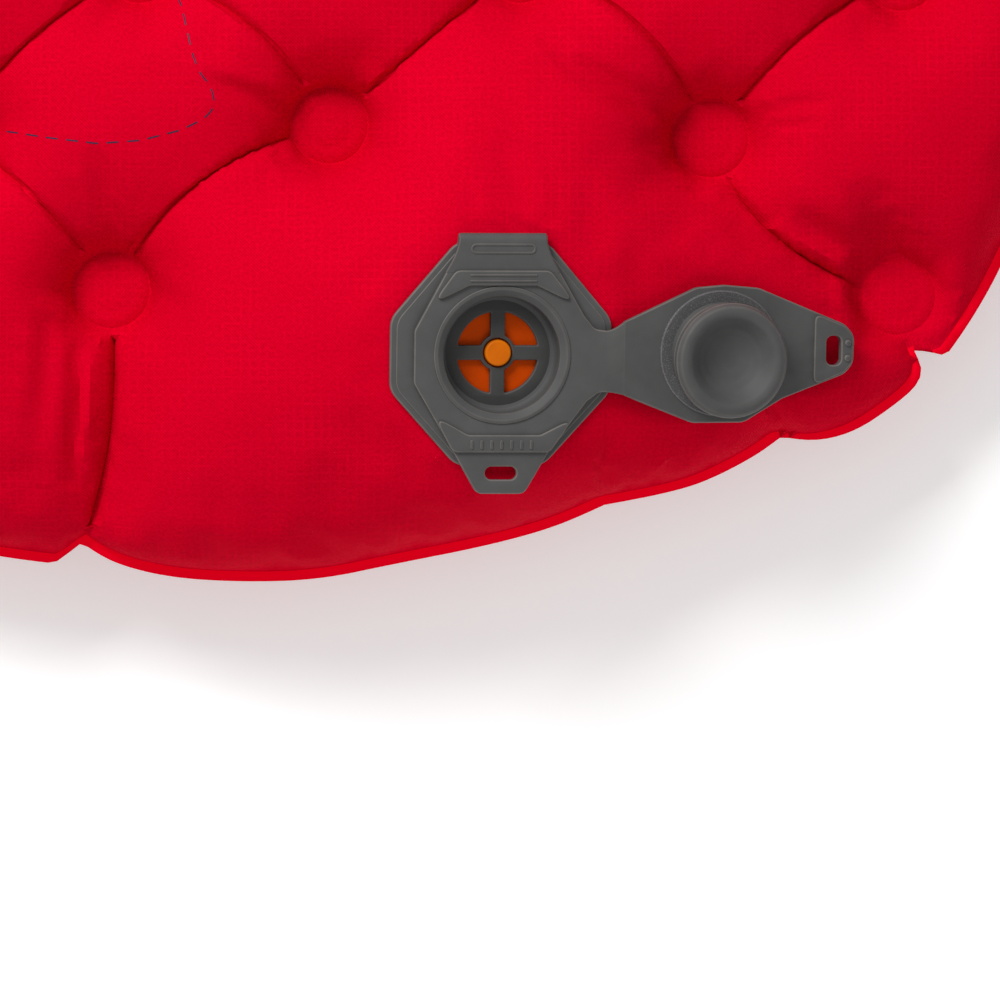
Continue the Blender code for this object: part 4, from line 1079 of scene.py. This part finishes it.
def make_cap(looks):
    grey = looks["grey"]
    place = VALVE @ drooped(1)
    slot = stadium(*ARM_SLOT, radius=1.6)
    arm = plate("cap_arm", rounded(ARM_OUTLINE, 5.0, 8), PLATE_BOTTOM, PLATE_TOP, grey, holes=[slot],
                round_top=0.45, cut_u=NECK_END)
    finish_piece(arm, place, "cap", ["inflate_cap_arm"])
    pad = plate("cap_pull_tab_pad", rounded(TAB_PAD, 1.6), PLATE_TOP - 0.3, PLATE_TOP + 0.95, grey,
                holes=[slot], round_top=0.4)
    finish_piece(pad, place, "cap")
    for number, spot in enumerate(TAB_DOTS, 1):
        low = PLATE_TOP + 0.9
        dot = turned(f"cap_tab_dot_{number}", [
            (0, low - 0.3), (0.85, low - 0.3), (0.85, low + 0.2), (0.7, low + 0.5, 1), (0.4, low + 0.68),
            (0, low + 0.74),
        ], grey, centre=spot, steps=24, sharp=60)
        finish_piece(dot, place, "cap")
    low, rib, tall = PLATE_TOP - 0.1, PLUG_RADIUS, PLUG_HEIGHT + 0.4
    foot = turned("cap_plug_foot", bend_profile([
        (0, low), (FOOT_RADIUS, low), (FOOT_RADIUS, low + 0.45), (15.6, low + 0.7, 1), (12.0, low + 0.7),
        (0, low + 0.7),
    ], 0.25), looks["speckled"], centre=(PLUG_U + PLUG_LEAN[0], PLUG_V + PLUG_LEAN[1]))
    finish_piece(foot, place, "cap")
    # The third values on the seal ribs mark them paler: a painted highlight on the ribs, with wear.
    plug_profile = bend_profile([
        (0, low), (rib - 1.2, low + 0.5), (rib - 1.2, low + 2.6), (rib - 0.55, low + 2.9, 0.8),
        (rib - 0.5, low + 3.5, 0.8), (rib - 0.75, low + 3.8), (rib - 0.75, low + 4.3),
        (rib, low + 4.7, 0.8), (rib + 0.1, low + tall - 1.7, 0.9), (rib - 0.8, low + tall - 0.35, 0.3),
        (rib - 2.2, low + tall), (rib - 3.5, low + tall - 0.4), (rib - 4.7, low + tall - 1.6),
        (rib - 6.4, low + tall - 3.3), (rib - 8.8, low + tall - 4.6), (rib - 11.6, low + tall - 5.3),
        (0, low + tall - 5.5),
    ], 0.6, 6)
    plug = turned("cap_plug", plug_profile, grey, centre=(PLUG_U, PLUG_V), sharp=60)
    for vertex in plug.data.vertices:
        share = max(1 - (vertex.co.z / MM - PLATE_TOP) / LEAN_HEIGHT, 0)
        vertex.co.x += PLUG_LEAN[0] * share * MM
        vertex.co.y += PLUG_LEAN[1] * share * MM
    finish_piece(plug, place, "cap", ["inflate_plug"])


def section_loft(name, sections, look):
    """A closed bar through the given cross-sections, all with the same number of points."""
    count = len(sections[0])
    points = [p for section in sections for p in section]
    faces = []
    for k in range(len(sections) - 1):
        for i in range(count):
            j = (i + 1) % count
            faces.append((k * count + i, k * count + j, (k + 1) * count + j, (k + 1) * count + i))
    faces += [tuple(range(count))[::-1], tuple((len(sections) - 1) * count + i for i in range(count))]
    made = mesh_object(name, points, faces, [look])
    made.data.set_sharp_from_angle(angle=math.radians(40))
    return made


def make_living_hinges(looks):
    """The two bending straps of the silicone moulding: flap to base, and cap to flap."""
    grey = looks["grey"]
    # flap strap: a band that folds back under itself round the base's top edge
    thick, middle = 1.5, (PLATE_TOP + BASE_BOTTOM) / 2
    bend = (PLATE_TOP - BASE_BOTTOM) / 2
    centre_v = 30.4 - bend
    path = [((v, PLATE_TOP + 0.05), (0, 1)) for v in (20.6, 22.6, 24.4, 26.4, 27.8, centre_v)]
    for k in range(1, 12):
        turn = math.pi / 2 - math.pi * k / 12
        out = (math.cos(turn), math.sin(turn))
        path.append(((centre_v + bend * out[0], middle + bend * out[1]), out))
    path += [((v, BASE_BOTTOM), (0, -1)) for v in (centre_v, 27.8, 27.2)]
    sections = []
    for (v, w), (out_v, out_w) in path:
        half = float(np.interp(v, (20.6, 23.2, 25.4, 28.4), (14.5, 13.0, 11.9, 11.1)))
        inner_v, inner_w = v - out_v * thick, w - out_w * thick
        edge = 0.3
        sections.append([
            (-half + edge, v, w), (half - edge, v, w), (half, v - out_v * edge, w - out_w * edge),
            (half, inner_v + out_v * edge, inner_w + out_w * edge), (half - edge, inner_v, inner_w),
            (-half + edge, inner_v, inner_w), (-half, inner_v + out_v * edge, inner_w + out_w * edge),
            (-half, v - out_v * edge, w - out_w * edge)])
    strap = section_loft("flap_hinge_strap", sections, grey)
    # The strap's outer edges are marked paler: wear and a painted highlight.
    mark_wear_and_highlight(strap, [0.6 if i % 8 in (2, 7) else 0.0 for i in range(8 * len(sections))])
    matrix = VALVE.copy()
    matrix.translation *= MM
    strap.data.transform(matrix)
    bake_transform(strap)
    # cap neck: drawn flat, then bent down with the cap
    stations = 14
    sections = []
    for k in range(stations + 1):
        t = k / stations
        u = NECK_START + (NECK_END - NECK_START) * t
        thin = 0.28 * math.sin(math.pi * t)
        top, bottom = PLATE_TOP - thin * 0.4, PLATE_BOTTOM + thin
        high = 6.1 + 2.3 * t**1.6
        low = -9.3 - 0.8 * t**1.6
        edge = 0.35
        bend_here = drooped(float(smooth_step(t)))
        section = [
            (u, low, top - edge), (u, low + edge * 0.3, top - edge * 0.3), (u, low + edge, top),
            (u, high - edge, top), (u, high - edge * 0.3, top - edge * 0.3), (u, high, top - edge),
            (u, high, bottom + edge), (u, high - edge, bottom), (u, low + edge, bottom),
            (u, low, bottom + edge)]
        sections.append([tuple(bend_here @ Vector(p)) for p in section])
    neck = section_loft("cap_hinge_neck", sections, grey)
    # The neck's top edges are marked paler: wear and a painted highlight.
    mark_wear_and_highlight(neck, [0.9 if i % 10 in (1, 4) else 0.05 for i in range(10 * len(sections))])
    neck.data.transform(matrix)
    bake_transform(neck)


def make_valve(looks):
    make_base(looks)
    make_flap(looks)
    make_check_valve(looks)
    make_cap(looks)
    make_living_hinges(looks)


# ---- Surroundings ----
def area_light(name, place, target, size, power, colour=(1, 1, 1)):
    light = bpy.data.lights.new(name, "AREA")
    light.shape = "RECTANGLE"
    light.size, light.size_y = size
    light.energy = power
    light.color = colour
    made = bpy.data.objects.new(name, light)
    made.location = place
    made.rotation_euler = (Vector(target) - Vector(place)).to_track_quat("-Z", "Y").to_euler()
    bpy.context.scene.collection.objects.link(made)


def make_surroundings():
    reach = 2e4  # of the floor from the middle
    corners = [(-reach, -reach, 0), (reach, -reach, 0), (reach, reach, 0), (-reach, reach, 0)]
    paper = plain("floor_paper", (0.95, 0.95, 0.95), 0.9)
    floor = mesh_object("floor", corners, [(0, 1, 2, 3)], [paper], smooth=False)
    glow = floor.data.materials[0].node_tree.nodes["Principled BSDF"]
    glow.inputs["Emission Color"].default_value = (1, 1, 1, 1)
    glow.inputs["Emission Strength"].default_value = 0.28
    world = bpy.data.worlds.new("studio")
    world.use_nodes = True
    world.node_tree.nodes["Background"].inputs["Color"].default_value = (1, 1, 1, 1)
    world.node_tree.nodes["Background"].inputs["Strength"].default_value = 0.39
    bpy.context.scene.world = world
    area_light("key_light", (-0.42, 0.70, 0.85), (0.05, -0.08, 0.03), (0.6, 0.45), 13)
    area_light("front_fill", (0.15, -0.9, 0.8), (0.05, -0.08, 0.03), (0.8, 0.6), 2.5)
    camera = bpy.data.cameras.new("camera")
    camera.lens = 500
    camera.clip_start = 0.05
    made = bpy.data.objects.new("camera", camera)
    view = 0.25  # metres across the picture at the lobe's height
    made.location = (0.060, -0.130, 0.058 + view * camera.lens / camera.sensor_width)
    bpy.context.scene.view_settings.view_transform = "Standard"
    bpy.context.scene.collection.objects.link(made)
    bpy.context.scene.camera = made


def main():
    looks = {
        "fabric_top": fabric_look("red_ripstop", (0.40, 0.0, 0.009), (0.84, 0.0, 0.024), 0.58),
        # The under panel is a darker copy of the top's red cloth: painted shade.
        "fabric_bottom": fabric_look("shaded_red_ripstop", (0.22, 0.0, 0.006), (0.34, 0.004, 0.014), 0.55),
        "grey": silicone_look("grey_silicone", (0.088, 0.088, 0.087), (0.20, 0.175, 0.16)),
        "speckled": silicone_look("speckled_grey_silicone", (0.085, 0.085, 0.088), (0.22, 0.20, 0.20),
            speckle=0.5),
        # A darker copy of the grey silicone: painted shade for the parts deep in the valve.
        "shaded_grey": silicone_look("shaded_grey_silicone", (0.058, 0.057, 0.056), (0.13, 0.12, 0.115)),
        "orange": silicone_look("orange_silicone_body", (0.76, 0.16, 0.0), (0.80, 0.20, 0.0), 0.5,
            gloss=0.12),
        "weld_band": band_look(),
        "cut_edge": silicone_look("pale_cut_edge", (0.60, 0.33, 0.34), (0.60, 0.33, 0.34), 0.6),
        "navy": silicone_look("navy_print", (0.05, 0.012, 0.055), (0.08, 0.02, 0.08), 0.6),
        "amber": silicone_look("orange_membrane", (0.72, 0.07, 0.0), (0.72, 0.09, 0.0), 0.5, gloss=0.05),
    }
    fabric, _ = make_panels(looks)
    make_dashed_outline(fabric, looks["navy"])
    make_valve(looks)
    make_surroundings()


main()
